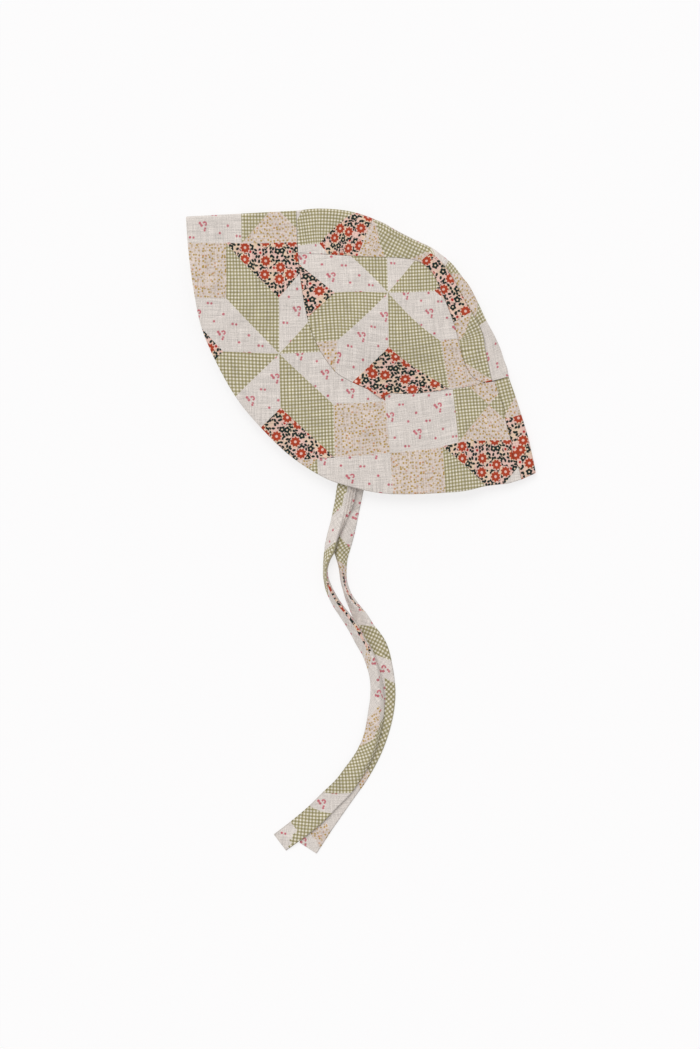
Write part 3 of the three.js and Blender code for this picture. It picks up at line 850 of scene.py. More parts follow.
    def _inward(self, places: Array) -> Array:
        """Gives the level way from each fold into the brim, for the points that turn round it."""
        from_back, from_front = unit(self.seam - self.back), unit(self.front_target - self.front)
        near_back = places[..., 0].mean(0) > 0
        return np.where(near_back[None, :, None], from_back[:, None, :], from_front[:, None, :])

    def _prints(self, places: Array, angle: Array) -> list[Array]:
        """Lays the print on the brim, once for its near side and once for the far side, past the seam.

        Args:
            places: Plan points of the brim's grid.
            angle: How far each has turned round a fold.

        Returns:
            The two maps, in squares of the print, with one more column for the ring's last faces.
        """
        plan, warp = self.plan, PrintWarp(self.pins, PRINT_SLACK)
        mirrored = mirror(places, np.array(plan.brim_edge[0]), np.array(plan.crown_outline[0]))
        gap = plan.fold_front.nearest(places)[0]
        far = mix(warp.at(mirrored), warp.straight(mirrored), smooth(gap / self.bent_run)[..., None])
        below = mirror(places, *plan.fold_back.at(np.array([0.0, 1.0])))
        spread = np.where((angle > math.pi / 2)[..., None], below, places) - np.array(self.band_spot)
        right = np.array(self.band_way)
        down = np.array([right[1], -right[0]])
        band = np.array(self.band_print) + np.stack([spread @ right, spread @ down], axis=-1) / SQUARE
        first, run = self.band_from
        far = mix(far, band, smooth((places[..., :1] - first) / run))
        return [np.concatenate([grid, grid[:, :1]], axis=1) for grid in (warp.at(places), far)]


@dataclass
class Tie:
    """A narrow cloth strip, folded and sewn, that lies along its crease in a loose curve."""

    name: str
    node: str
    rows: tuple[tuple[float, ...], ...]
    length: float
    cloth: float = 0.8
    width: float = 12.5
    # How high the pleats near the hat are, where they end and over what length, and how close they lie.
    pleats: float = 0.0
    pleats_end: Pair = (112.0, 16.0)
    pleat_beat: float = 3.6
    # How high the edges' waves are, how low the cloth may lie, and how much of its half thickness is left
    # at its ends.
    edge_wave: float = 0.05
    lowest: float = 0.02
    end_left: float = 0.05
    # How many even stations the strip has along it, and how many points across it.
    stations: int = 420
    across: int = 33
    # How soft the crease is, how far the underside's print is shifted along, how far from the ends the even
    # stations start and the close ones lie, and every how many stations a path for the cord would take a
    # point.
    crease: float = 0.03
    print_step: float = 40.0
    first_even: float = 0.8
    ends: tuple[float, ...] = (0.0, 0.15, 0.4)
    path_step: int = 6

    def build(self, material: Material) -> Piece:
        """Makes the strip from its crease and its two edges.

        Args:
            material: Its finish.

        Returns:
            The strip, attached to the root body in place of its part, which is hidden.
        """
        table = np.array(self.rows)
        line = PlanLine([tuple(row) for row in table[:, :2]])
        marks = [line.nearest(point)[1] for point in table[1:-1, :2]]
        marks = np.concatenate([[0.0], marks, [line.length]])
        close = np.array(self.ends)
        even = np.linspace(self.first_even, line.length - self.first_even, self.stations)
        reach = np.concatenate([close, even, (line.length - close)[::-1]])
        fine = np.stack([self._eased(reach, marks, table[:, k]) for k in range(2, 8)], axis=1)
        middle = line.at(reach / line.length)
        ahead = line.at(np.minimum(reach + 1.0, line.length) / line.length)
        way = unit(ahead - line.at(np.maximum(reach - 1.0, 0.0) / line.length))
        side = np.stack([-way[:, 1], way[:, 0]], axis=1)
        out, high = self._section(fine)
        slope_out, slope_high = np.gradient(out, axis=1), np.gradient(high, axis=1)
        size = np.sqrt(slope_out**2 + slope_high**2)
        level_out, level_high = slope_out / size, slope_high / size
        steps = np.sqrt(np.diff(out, axis=1) ** 2 + np.diff(high, axis=1) ** 2)
        place = np.concatenate([np.zeros((len(reach), 1)), np.cumsum(steps, axis=1)], axis=1)
        place -= place[:, self.across // 2][:, None]
        end = np.minimum(reach, line.length - reach)[:, None]
        half = self.cloth / 2 - rolled(end, self.cloth / 2, self.cloth / 2 - self.end_left)
        ripple = self._ripple(reach, place)
        # The ring goes over the top from left to right, round the right tip, and back underneath.
        first, last = slice(0, 1), slice(self.across - 1, None)
        rings = []
        for base, up, on, rise in ((out, -level_high, level_out, 0.0), (high, level_out, level_high, ripple)):
            top, under = base + up * half + rise, (base - up * half + rise)[:, ::-1]
            right, left = base[:, last] + on[:, last] * half, base[:, first] - on[:, first] * half
            rings.append(np.concatenate([top, right, under, left], axis=1))
        plan = middle[:, None, :] + rings[0][..., None] * side[:, None, :]
        points = np.dstack([plan, np.maximum(rings[1], self.lowest)]).reshape(-1, 3) * MM
        quads, spots = self._faces(reach, place)
        bare = np.zeros((len(reach), 1))
        # How far each point lies from the strip's edges, which the finish darkens with painted shade.
        edge = np.minimum(np.abs(place - place[:, :1]), np.abs(place[:, -1:] - place))
        rim = np.concatenate([edge, bare, edge[:, ::-1], bare], axis=1).ravel()
        piece = make_piece(self.name, points, quads, spots, np.zeros(len(quads), int), rim, [material])
        self._close(piece)
        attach(piece, "root")
        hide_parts(self.node)
        return piece

    def _section(self, fine: Array) -> tuple[Array, Array]:
        """Bends the strip's cross-section at each station.

        Args:
            fine: The table's columns at each station: the crease's place and height, then how far out and
                how high the left and the right edge lie.

        Returns:
            How far to the right and how high each point of the cloth's middle lies.
        """
        spread = np.linspace(-1.0, 1.0, self.across)[None, :]
        low = math.sqrt(self.crease)
        bend = (np.sqrt(spread**2 + self.crease) - low) / (math.sqrt(1.0 + self.crease) - low)
        left = spread < 0
        aside, crest, left_out, left_high, right_out, right_high = (fine[:, k : k + 1] for k in range(6))
        out = aside + spread * np.where(left, left_out, right_out)
        return out, crest + bend * (np.where(left, left_high, right_high) - crest)

    def _ripple(self, reach: Array, place: Array) -> Array:
        """Gives the small waves of the edges, and the pleats where the tie comes out from under the hat.

        Args:
            reach: Where along the tie each station lies.
            place: Where across the cloth each point lies.

        Returns:
            The rise of each point.
        """
        spread = np.linspace(-1.0, 1.0, self.across)[None, :]
        beat = np.sin(reach * 1.1 + 0.8 * np.sin(reach * 0.13))[:, None]
        waves = self.edge_wave * beat * np.abs(spread) ** 3
        end, run = self.pleats_end
        fading = smooth((end - reach) / run)[:, None]
        fading = fading * np.clip(spread, 0.0, 1.0) ** 0.5
        pleats = self.pleats * fading * np.sin(self.pleat_beat * place)
        return waves + pleats * np.clip(reach / 40.0 - 0.5, 0.0, 1.0)[:, None]

    def _faces(self, reach: Array, place: Array) -> tuple[Array, Array]:
        """Gives the strip's faces, with caps at both ends.

        Args:
            reach: Where along the tie each station lies.
            place: Where across the cloth each point lies.

        Returns:
            Four point numbers a face, and the print's place at each corner.
        """
        turn, half = 2 * self.across + 2, self.cloth / 2
        upper = np.concatenate([place, place[:, -1:] + half, place[:, ::-1], place[:, :1] - half], axis=1)
        grid = np.meshgrid(np.arange(len(reach) - 1), np.arange(turn), indexing="ij")
        i, k = (part.ravel() for part in grid)
        after = (k + 1) % turn
        four = ((i, k), (i, after), (i + 1, after), (i + 1, k))
        quads = [np.stack([a * turn + b for a, b in four], axis=1)]
        shift = np.where((k > self.across) & (k < turn - 1), self.print_step, 0.0)
        spots = [np.stack([np.stack([upper[a, b], reach[a] + shift], axis=1) for a, b in four], axis=1)]
        a = np.arange(self.across - 1)
        b = 2 * self.across - a
        for row in (0, len(reach) - 1):
            cap = (a, a + 1, b - 1, b)
            along = np.full(len(a), reach[row])
            quads.append(np.stack([row * turn + c for c in cap], axis=1))
            spots.append(np.stack([np.stack([upper[row, c], along], axis=1) for c in cap], axis=1))
        return np.vstack(quads), np.vstack(spots)

    def _close(self, piece: Piece) -> None:
        """Fills the last sliver of each cap, between the folded edges, and turns all faces outwards."""
        bpy.context.view_layer.objects.active = piece
        piece.select_set(True)
        bpy.ops.object.mode_set(mode="EDIT")
        bpy.ops.mesh.select_all(action="DESELECT")
        bpy.ops.mesh.select_non_manifold(
            extend=False, use_wire=False, use_multi_face=False, use_non_contiguous=False, use_verts=False
        )
        bpy.ops.mesh.fill_holes(sides=0)
        bpy.ops.mesh.select_all(action="SELECT")
        bpy.ops.mesh.normals_make_consistent(inside=False)
        bpy.ops.object.mode_set(mode="OBJECT")
        piece.select_set(False)

    def _eased(self, reach: Array, marks: Array, values: Array) -> Array:
        """Reads a table's column smoothly between its marks.

        Args:
            reach: Where along the tie it is read.
            marks: Where along the tie the table's rows lie.
            values: The column.

        Returns:
            The values there, which never leave those of the rows beside them.
        """
        slope = np.diff(values) / np.diff(marks)
        pull = np.zeros_like(values)
        inner = slope[:-1] * slope[1:] > 0
        pull[1:-1][inner] = 2.0 * slope[:-1][inner] * slope[1:][inner] / (slope[:-1] + slope[1:])[inner]
        k = np.clip(np.searchsorted(marks, reach, side="right") - 1, 0, len(marks) - 2)
        size = np.diff(marks)[k]
        t = (reach - marks[k]) / size
        start = (1 + 2 * t) * (1 - t) ** 2 * values[k] + t * (1 - t) ** 2 * size * pull[k]
        return start + t * t * (3 - 2 * t) * values[k + 1] + t * t * (t - 1) * size * pull[k + 1]


class Wiring:
    """Writes shader nodes as plain arithmetic."""

    def __init__(self, tree: Tree) -> None:
        """Starts on a node tree."""
        self.tree = tree

    def add(self, kind: str, **settings: object) -> bpy.types.Node:
        """Adds a node with its settings."""
        node = self.tree.nodes.new(kind)
        for name, value in settings.items():
            setattr(node, name, value)
        return node

    def plug(self, socket: Result, value: Socket | None) -> None:
        """Links a socket to another, or sets its value."""
        if isinstance(value, Result):
            self.tree.links.new(value, socket)
        elif value is not None:
            socket.default_value = value

    def math(self, operation: str, *values: Socket, clamp: bool = False) -> Result:
        """Adds a Math node and gives its result."""
        node = self.add("ShaderNodeMath", operation=operation, use_clamp=clamp)
        for socket, value in zip(node.inputs, values):
            self.plug(socket, value)
        return node.outputs[0]

    def times(self, first: Socket, second: Socket) -> Result:
        """Multiplies two values."""
        return self.math("MULTIPLY", first, second)

    def times_plus(self, first: Socket, second: Socket, third: Socket, clamp: bool = False) -> Result:
        """Multiplies two values and adds a third."""
        return self.math("MULTIPLY_ADD", first, second, third, clamp=clamp)

    def minus(self, first: Socket, second: Socket, clamp: bool = False) -> Result:
        """Takes the second value from the first."""
        return self.math("SUBTRACT", first, second, clamp=clamp)

    def over(self, value: Socket, limit: Socket) -> Result:
        """Gives 1 where a value is over a limit, and else 0."""
        return self.math("GREATER_THAN", value, limit)

    def vector(self, operation: str, *values: Socket, scale: Socket | None = None) -> Result:
        """Adds a Vector Math node and gives its result."""
        node = self.add("ShaderNodeVectorMath", operation=operation)
        for socket, value in zip(node.inputs, values):
            self.plug(socket, value)
        if scale is not None:
            self.plug(node.inputs["Scale"], scale)
        return node.outputs["Value" if operation in ("LENGTH", "DOT_PRODUCT", "DISTANCE") else "Vector"]

    def split(self, value: Socket) -> tuple[Result, Result]:
        """Gives a vector's first two numbers."""
        node = self.add("ShaderNodeSeparateXYZ")
        self.plug(node.inputs[0], value)
        return node.outputs[0], node.outputs[1]

    def join(self, x: Socket, y: Socket) -> Result:
        """Makes a flat vector of two numbers."""
        node = self.add("ShaderNodeCombineXYZ")
        self.plug(node.inputs[0], x)
        self.plug(node.inputs[1], y)
        return node.outputs[0]

    def blend(self, share: Socket, first: Socket, second: Socket) -> Result:
        """Mixes two colours."""
        node = self.add("ShaderNodeMix", data_type="RGBA")
        for socket, value in ((node.inputs[0], share), (node.inputs[6], first), (node.inputs[7], second)):
            self.plug(socket, value)
        return node.outputs[2]

    def inside(self, distance: Socket, radius: Socket, soft: float) -> Result:
        """Gives 1 where a distance is under a radius, with a soft rim."""
        gap = self.minus(radius, distance)
        return self.times_plus(gap, 1.0 / soft, 0.5, clamp=True)

    def cells(self, place: Socket, size: float, scatter: float) -> tuple[Result, Result]:
        """Scatters points over the cloth.

        Args:
            place: The cloth's place, in millimetres.
            size: How far apart the points lie, in millimetres.
            scatter: How far they leave an even grid.

        Returns:
            The place measured from the nearest point, in millimetres, and that point's own random colour.
        """
        node = self.add("ShaderNodeTexVoronoi", voronoi_dimensions="2D", feature="F1")
        scaled = self.vector("SCALE", place, scale=1.0 / size)
        self.plug(node.inputs["Vector"], scaled)
        self.plug(node.inputs["Scale"], 1.0)
        self.plug(node.inputs["Randomness"], scatter)
        gap = self.vector("SUBTRACT", scaled, node.outputs["Position"])
        return self.vector("SCALE", gap, scale=size), node.outputs["Color"]

    def noise(self, place: Socket, scale: float, detail: float = 2.0, roughness: float = 0.5) -> Result:
        """Gives soft noise, from 0 to 1."""
        node = self.add("ShaderNodeTexNoise", noise_dimensions="3D")
        settings = (("Vector", place), ("Scale", scale), ("Detail", detail), ("Roughness", roughness))
        for name, value in settings:
            self.plug(node.inputs[name], value)
        return node.outputs[0]


FLOAT, VECTOR = "NodeSocketFloat", "NodeSocketVector"
# The share that each print but the sprigs has at a place; the sprigs fill the rest.
SHARES = (("Gingham", FLOAT), ("Dots", FLOAT), ("Flowers", FLOAT))


@dataclass(frozen=True)
class Effect:
    """A shader node group that several finishes share."""

    name: str
    inputs: tuple[tuple[str, str], ...]
    outputs: tuple[tuple[str, str], ...]

    def start(self) -> tuple[Tree, Wiring, Sockets, Sockets]:
        """Makes the empty group.

        Returns:
            The group, its wiring, and the sockets that come in and go out.
        """
        tree = bpy.data.node_groups.new(self.name, "ShaderNodeTree")
        for way, sockets in (("INPUT", self.inputs), ("OUTPUT", self.outputs)):
            for name, kind in sockets:
                tree.interface.new_socket(name, in_out=way, socket_type=kind)
        wiring = Wiring(tree)
        return tree, wiring, wiring.add("NodeGroupInput").outputs, wiring.add("NodeGroupOutput").inputs


def colour(red: float, green: float, blue: float) -> tuple[float, float, float, float]:
    """Turns a colour as a screen shows it, from 0 to 255, into a shader's."""
    parts = [value / 255.0 for value in (red, green, blue)]
    steps = [part / 12.92 if part <= 0.04045 else ((part + 0.055) / 1.055) ** 2.4 for part in parts]
    return (*steps, 1.0)


@dataclass(frozen=True)
class QuiltBlocks:
    """The quilt's layout: two blocks that alternate, one of pinwheels and one of nine squares."""

    block: float = 4.0
    third: float = 2.0 / 3.0

    def build(self) -> Tree:
        """Makes the group: from a place in squares to the share of each print."""
        effect = Effect("quilt blocks", (("Place", VECTOR),), SHARES + (("Within", VECTOR),))
        tree, w, given, out = effect.start()
        x, y = w.split(given[0])
        steps = [w.math("FLOOR", w.times_plus(value, 1.0 / self.block, 0.5)) for value in (x, y)]
        within = [w.times_plus(step, -self.block, value) for step, value in zip(steps, (x, y))]
        odd = w.math("PINGPONG", w.math("ADD", *steps), 1.0)
        ax, ay = (w.math("ABSOLUTE", value) for value in within)
        small, big = w.math("MINIMUM", ax, ay), w.math("MAXIMUM", ax, ay)
        # The pinwheel block: dots at its corners, flowers along its sides, gingham and sprigs in its wheel.
        corner = w.over(small, 1.0)
        gap = w.minus(ay, ax)
        floral = w.over(w.math("ABSOLUTE", gap), 1.0)
        same = w.over(w.times(*within), 0.0)
        tall = w.over(gap, 0.0)
        wheel = w.minus(1.0, w.math("ABSOLUTE", w.minus(same, tall)))
        free = w.minus(w.minus(1.0, corner), floral, clamp=True)
        check = w.times(wheel, free)
        # The block of nine: sprigs at its corners, flowers in its middle, dots and gingham on its sides.
        nine_corner = w.over(small, self.third)
        centre = w.math("LESS_THAN", big, self.third)
        side = w.minus(w.minus(1.0, nine_corner), centre, clamp=True)
        out_side = w.math("ABSOLUTE", w.minus(big, 2.0 * self.third))
        dotted = w.times(side, w.over(out_side, small))
        nine_check = w.times(side, w.math("LESS_THAN", out_side, small))
        for n, (first, second) in enumerate(((check, nine_check), (corner, dotted), (floral, centre))):
            way = w.minus(second, first)
            w.plug(out[n], w.times_plus(way, odd, first))
        w.plug(out[3], w.vector("SCALE", w.join(*within), scale=SQUARE))
        return tree


@dataclass(frozen=True)
class SmallPrints:
    """The small prints: pink sprigs on cream, olive gingham, mustard dots on blush, and a ditsy floral."""

    cream: Colour = colour(213, 205, 198)
    sprig: Colour = colour(188, 80, 95)
    white: Colour = colour(225, 218, 205)
    olive: Colour = colour(170, 162, 127)
    crossing: Colour = colour(141, 132, 94)
    blush: Colour = colour(210, 196, 187)
    mustard: Colour = colour(172, 140, 66)
    apricot: Colour = colour(190, 138, 90)
    peach: Colour = colour(220, 194, 168)
    rose: Colour = colour(222, 186, 174)
    rust: Colour = colour(168, 62, 35)
    green: Colour = colour(20, 38, 34)
    berry: Colour = colour(172, 40, 34)
    check: float = SQUARE / 16.0
    lattice: tuple[Pair, Pair] = ((-15.7, 14.3), (16.7, 13.2))
    first_sprig: Pair = (-50.1, 57.9)
    full_turn: float = 6.28
    # Where in the lattice's cell each motif sits, and its spots: the middle, the radius, and then a ring's
    # inner radius and the way in which it is open, in degrees.
    sprigs: tuple[tuple[Pair, tuple[tuple, ...]], ...] = (
        (
            (0.0, 0.0),
            (
                ((-1.95, -1.2), 0.9), ((-1.4, -0.4), 0.62), ((-0.85, 0.35), 0.88),
                ((1.3, -0.75), 1.62, 0.55, 140.0), ((1.5, 2.2), 0.7), ((1.1, 3.4), 0.74),
            ),
        ),
        ((0.52, 0.03), (((-1.15, -0.1), 0.82), ((1.15, 0.1), 0.74))),
        ((0.5, 0.57), (((0.0, 0.0), 0.86),)),
        ((0.85, 0.55), (((0.0, 0.0), 0.8),)),
    )
    # How far apart the scattered motifs lie, how far they leave an even grid, and where that grid starts.
    dots: tuple[float, float] = (2.15, 0.8)
    leaves: tuple[float, float] = (2.45, 0.66)
    pale: tuple[float, float, Pair] = (9.6, 0.5, (31.0, 17.0))
    daisies: tuple[float, float, Pair] = (11.2, 0.72, (3.1, 5.3))
    rings: tuple[float, float, Pair] = (7.5, 0.75, (-11.0, 8.0))
    # A dot's radius, the softness of its rim and how uneven it is, and above which chance it is apricot.
    dot_radius: float = 0.64
    dot_rim: float = 0.36
    dot_uneven: float = 0.7
    apricot_over: float = 0.88
    # The flowers' petals, their mean radius, the depth of their notches and the softness of their rims.
    pale_shape: tuple[float, float, float, float] = (5.0, 3.0, 0.45, 0.5)
    daisy_shape: tuple[float, float, float, float] = (9.0, 3.05, 0.4, 0.3)
    ring_shape: tuple[float, float, float, float] = (5.0, 2.05, 0.26, 0.3)
    # The radius and the softness of each flower's eye, how far a daisy hides what lies under it, how far
    # from a daisy's, a ring's and a pale flower's middle no leaf grows, and how soft those limits are.
    pale_eye: Pair = (0.85, 0.35)
    daisy_eye: Pair = (0.9, 0.4)
    ring_eye: Pair = (0.55, 0.3)
    daisy_clear: float = 3.7
    leafless: tuple[float, float, float] = (3.5, 2.25, 1.5)
    limit_soft: float = 0.3
    # A leaf's slenderness and half its width, and the share of leaves left out.
    leaf_aspect: float = 0.66
    leaf_half: float = 0.79
    leaves_out: float = 0.15

    def build(self) -> Tree:
        """Makes the group: from a place in millimetres and the share of each print to a colour."""
        effect = Effect("small prints", (("Place", VECTOR),) + SHARES, (("Color", "NodeSocketColor"),))
        tree, w, given, out = effect.start()
        place = given["Place"]
        shown = w.blend(given["Gingham"], self._sprigs(w, place), self._gingham(w, place))
        shown = w.blend(given["Dots"], shown, self._dots(w, place))
        w.plug(out[0], w.blend(given["Flowers"], shown, self._flowers(w, place)))
        return tree

    def _gingham(self, w: Wiring, place: Socket) -> Result:
        """Weaves the gingham: white squares, olive bars, and darker squares where the bars cross."""
        bars = []
        for value in w.split(place):
            wave = w.math("COSINE", w.times_plus(value, 2 * math.pi / self.check, -1.9))
            bars.append(w.times_plus(wave, 0.95, 0.5, clamp=True))
        light = w.blend(bars[0], self.white, self.olive)
        dark = w.blend(bars[0], self.olive, self.crossing)
        return w.blend(bars[1], light, dark)

    def _dots(self, w: Wiring, place: Socket) -> Result:
        """Scatters uneven mustard dots over the blush ground."""
        gap, tint = w.cells(place, *self.dots)
        uneven = w.noise(place, 0.9)
        even = w.minus(w.vector("LENGTH", gap), self.dot_uneven / 2)
        distance = w.times_plus(uneven, self.dot_uneven, even)
        strength = w.times_plus(w.split(tint)[0], 0.85, 0.36, clamp=True)
        dot = w.blend(w.over(w.split(tint)[1], self.apricot_over), self.mustard, self.apricot)
        shown = w.times(w.inside(distance, self.dot_radius, self.dot_rim), strength)
        return w.blend(shown, self.blush, dot)

    def _repeat(self, w: Wiring, place: Socket, shift: Pair) -> tuple[Result, Result]:
        """Repeats a motif over the slanted lattice of the sprig print.

        Args:
            w: The wiring.
            place: The cloth's place, in millimetres.
            shift: Where in the lattice's cell the motif sits.

        Returns:
            The place measured from the nearest motif, in millimetres.
        """
        (ax, ay), (bx, by) = self.lattice
        area = ax * by - ay * bx
        from_first = w.vector("SUBTRACT", place, self.first_sprig + (0.0,))
        x, y = w.split(from_first)
        steps = []
        ways = ((by / area, -bx / area), (-ay / area, ax / area))
        for (px, py), move in zip(ways, shift):
            value = w.times_plus(x, px, w.times_plus(y, py, -move))
            steps.append(w.minus(value, w.math("ROUND", value)))
        across = w.times_plus(steps[0], ax, w.times(steps[1], bx))
        down = w.times_plus(steps[0], ay, w.times(steps[1], by))
        return across, down

    def _spot(
        self,
        w: Wiring,
        at: tuple[Socket, Socket],
        centre: Pair,
        radius: float,
        hole: float = 0.0,
        open_way: float | None = None,
    ) -> Result:
        """Draws a spot or an open ring.

        Args:
            w: The wiring.
            at: The place measured from the motif's middle.
            centre: The spot's middle.
            radius: Its radius, or a ring's outer one.
            hole: A ring's inner radius.
            open_way: The direction in which a ring is open, in degrees, if it is.

        Returns:
            The spot's mask.
        """
        x, y = w.minus(at[0], centre[0]), w.minus(at[1], centre[1])
        distance = w.vector("LENGTH", w.join(x, y))
        if not hole:
            return w.inside(distance, radius, 0.5)
        half = (radius - hole) / 2
        band = w.inside(w.math("ABSOLUTE", w.minus(distance, (radius + hole) / 2)), half, 0.34)
        if open_way is None:
            return band
        turn = math.radians(open_way)
        ahead = w.times_plus(x, math.cos(turn), w.times(y, math.sin(turn)))
        return w.times(band, w.inside(ahead, radius * 0.35, 0.4))

    def _sprigs(self, w: Wiring, place: Socket) -> Result:
        """Scatters small curled pink sprigs, pairs of buds and single buds over the cream ground."""
        marks = []
        for shift, spots in self.sprigs:
            at = self._repeat(w, place, shift)
            marks += [self._spot(w, at, *spot) for spot in spots]
        shown = marks[0]
        for mark in marks[1:]:
            shown = w.math("MAXIMUM", shown, mark)
        faded = w.times_plus(w.noise(place, 0.6), 0.6, 0.55, clamp=True)
        return w.blend(w.times(shown, faded), self.cream, self.sprig)

    def _petals(
        self,
        w: Wiring,
        place: Socket,
        spread: tuple[float, float, Pair],
        shape: tuple[float, float, float, float],
    ) -> tuple[Result, Result]:
        """Scatters flower heads.

        Args:
            w: The wiring.
            place: The cloth's place, in millimetres.
            spread: How far apart they lie, how far they leave an even grid, and where that grid starts.
            shape: How many petals they have, their mean radius, how deep the notches are, and how soft
                their rims are.

        Returns:
            The flowers' mask and the distance from the nearest one's middle.
        """
        size, scatter, start = spread
        count, radius, wave, soft = shape
        gap, tint = w.cells(w.vector("ADD", place, start + (0.0,)), size, scatter)
        turn = w.split(tint)[0]
        distance = w.vector("LENGTH", gap)
        x, y = w.split(gap)
        angle = w.math("ARCTAN2", y, x)
        turned = w.times(turn, self.full_turn)
        lobes = w.math("COSINE", w.times_plus(angle, count, turned))
        return w.inside(distance, w.times_plus(lobes, wave, radius), soft), distance

    def _flowers(self, w: Wiring, place: Socket) -> Result:
        """Packs rust daisies, dark green rings of petals, leaves and pale flowers over the peach ground."""
        ground = w.blend(w.inside(w.noise(place, 0.12, 1.0), 0.5, 0.12), self.peach, self.rose)
        pale, from_pale = self._petals(w, place, self.pale, self.pale_shape)
        daisy, from_daisy = self._petals(w, place, self.daisies, self.daisy_shape)
        ring, from_ring = self._petals(w, place, self.rings, self.ring_shape)
        ground = w.blend(w.times(pale, 0.7), ground, self.rose)
        clear = w.minus(1.0, w.inside(from_daisy, self.daisy_clear, self.limit_soft))
        ring = w.times(ring, clear)
        near_flowers = [
            w.inside(distance, reach, self.limit_soft)
            for distance, reach in zip((from_daisy, from_ring, from_pale), self.leafless)
        ]
        covered = w.math("MAXIMUM", near_flowers[0], w.math("MAXIMUM", *near_flowers[1:]))
        leaf = w.times(self._leaves(w, place), w.minus(1.0, covered))
        shown = w.blend(w.times(w.inside(from_pale, *self.pale_eye), clear), ground, self.berry)
        shown = w.blend(leaf, shown, self.green)
        shown = w.blend(ring, shown, self.green)
        shown = w.blend(w.times(w.inside(from_ring, *self.ring_eye), clear), shown, self.peach)
        shown = w.blend(daisy, shown, self.rust)
        return w.blend(w.inside(from_daisy, *self.daisy_eye), shown, self.rose)

    def _leaves(self, w: Wiring, place: Socket) -> Result:
        """Scatters small leaves that lie every way, and leaves some of them out."""
        gap, tint = w.cells(place, *self.leaves)
        chance = w.split(tint)
        turn = w.times(chance[0], self.full_turn)
        x, y = w.split(gap)
        cos, sin = w.math("COSINE", turn), w.math("SINE", turn)
        long = w.times_plus(x, cos, w.times(y, sin))
        short = w.minus(w.times(y, cos), w.times(x, sin))
        slender = w.join(w.times(long, self.leaf_aspect), short)
        leaf = w.inside(w.vector("LENGTH", slender), self.leaf_half, 0.24)
        return w.times(leaf, w.over(chance[1], self.leaves_out))


@dataclass(frozen=True)
class PlainWeave:
    """The cotton's own weave: fine crossing threads with thicker and thinner stretches, and soft creases."""

    pitch: float = 0.62
    slub: float = 0.06
    thread_shade: float = 0.75
    cloud_shade: float = 0.12
    grain_shade: float = 0.55
    crease_scale: float = 0.13
    crease_depth: float = 5.0

    def build(self) -> Tree:
        """Makes the group: from a place in millimetres to a shade and a height."""
        effect = Effect(
            "plain weave", (("Place", VECTOR), ("Strength", FLOAT)), (("Shade", FLOAT), ("Height", FLOAT))
        )
        tree, w, given, out = effect.start()
        x, y = w.split(given[0])
        threads = []
        for first, second in ((x, y), (y, x)):
            stretched = w.join(w.times(first, 1.0 / self.pitch), w.times(second, self.slub))
            threads.append(w.noise(stretched, 1.0, 2.0, 0.6))
        cloud = w.noise(given[0], 0.045, 2.0)
        grain = w.noise(given[0], 1.3, 1.0)
        both = w.minus(w.math("ADD", *threads), 1.0)
        fine = w.times(w.minus(grain, 0.5), self.grain_shade)
        soft = w.times_plus(w.minus(cloud, 0.5), self.cloud_shade, fine)
        shade = w.times_plus(both, self.thread_shade, soft)
        w.plug(out[0], w.times_plus(shade, given[1], 1.0))
        crumple = w.noise(given[0], self.crease_scale, 3.0)
        w.plug(out[1], w.times_plus(crumple, self.crease_depth, both))
        return tree


@dataclass(frozen=True)
class CottonFinish:
    """A matt cotton: its print, its weave, and painted shade that darkens it towards its seams and edges."""

    name: str
    roughness: float = 0.92
    sheen: float = 0.06
    sheen_roughness: float = 0.6
    specular: float = 0.25
    weave: float = 1.0
    bump: float = 0.22
    bump_distance: float = 0.0002
    # How dark the painted shade beside seams and edges gets, and how far from them it reaches, in
    # millimetres.
    seam_painted_shade: float = 0.7
    seam_reach: float = 0.44

    def dress(self, w: Wiring, shown: Socket, place: Socket, weave: Tree) -> None:
        """Finishes a material whose print is wired.

        Args:
            w: Its wiring.
            shown: The print's colour.
            place: The cloth's place, in millimetres.
            weave: The weave's group.
        """
        cloth = w.add("ShaderNodeGroup", node_tree=weave)
        w.plug(cloth.inputs[0], place)
        w.plug(cloth.inputs[1], self.weave)
        # Painted shade: the colour darkens within reach of a seam or an edge, read from the piece's rim
        # distance.
        rim = w.add("ShaderNodeAttribute", attribute_name="rim", attribute_type="GEOMETRY")
        seam = w.inside(rim.outputs["Fac"], self.seam_reach / 2, self.seam_reach)
        shade = w.times(cloth.outputs[0], w.times_plus(seam, self.seam_painted_shade - 1.0, 1.0))
        bump = w.add("ShaderNodeBump")
        raised = (("Strength", self.bump), ("Distance", self.bump_distance), ("Height", cloth.outputs[1]))
        for name, value in raised:
            w.plug(bump.inputs[name], value)
        shader = w.add("ShaderNodeBsdfPrincipled")
        finish = (
            ("Base Color", w.vector("SCALE", shown, scale=shade)),
            ("Roughness", self.roughness),
            ("Sheen Weight", self.sheen),
            ("Sheen Roughness", self.sheen_roughness),
            ("Specular IOR Level", self.specular),
            ("Normal", bump.outputs[0]),
        )
        for name, value in finish:
            w.plug(shader.inputs[name], value)
        w.plug(w.add("ShaderNodeOutputMaterial").inputs["Surface"], shader.outputs[0])

    def empty(self) -> tuple[Material, Wiring, Result]:
        """Makes an empty material.

        Returns:
            The material, its wiring, and the cloth map's place.
        """
        material = bpy.data.materials.new(self.name)
        material.use_nodes = True
        material.node_tree.nodes.clear()
        w = Wiring(material.node_tree)
        return material, w, w.add("ShaderNodeUVMap", uv_map="cloth").outputs[0]


# How long a tie's chart of prints is and over which length its slant ends, in millimetres, and what turns
# a place by 45 degrees.
CHART_LENGTH = 400.0
LEAN_END = 25.0
BIAS = 0.7071


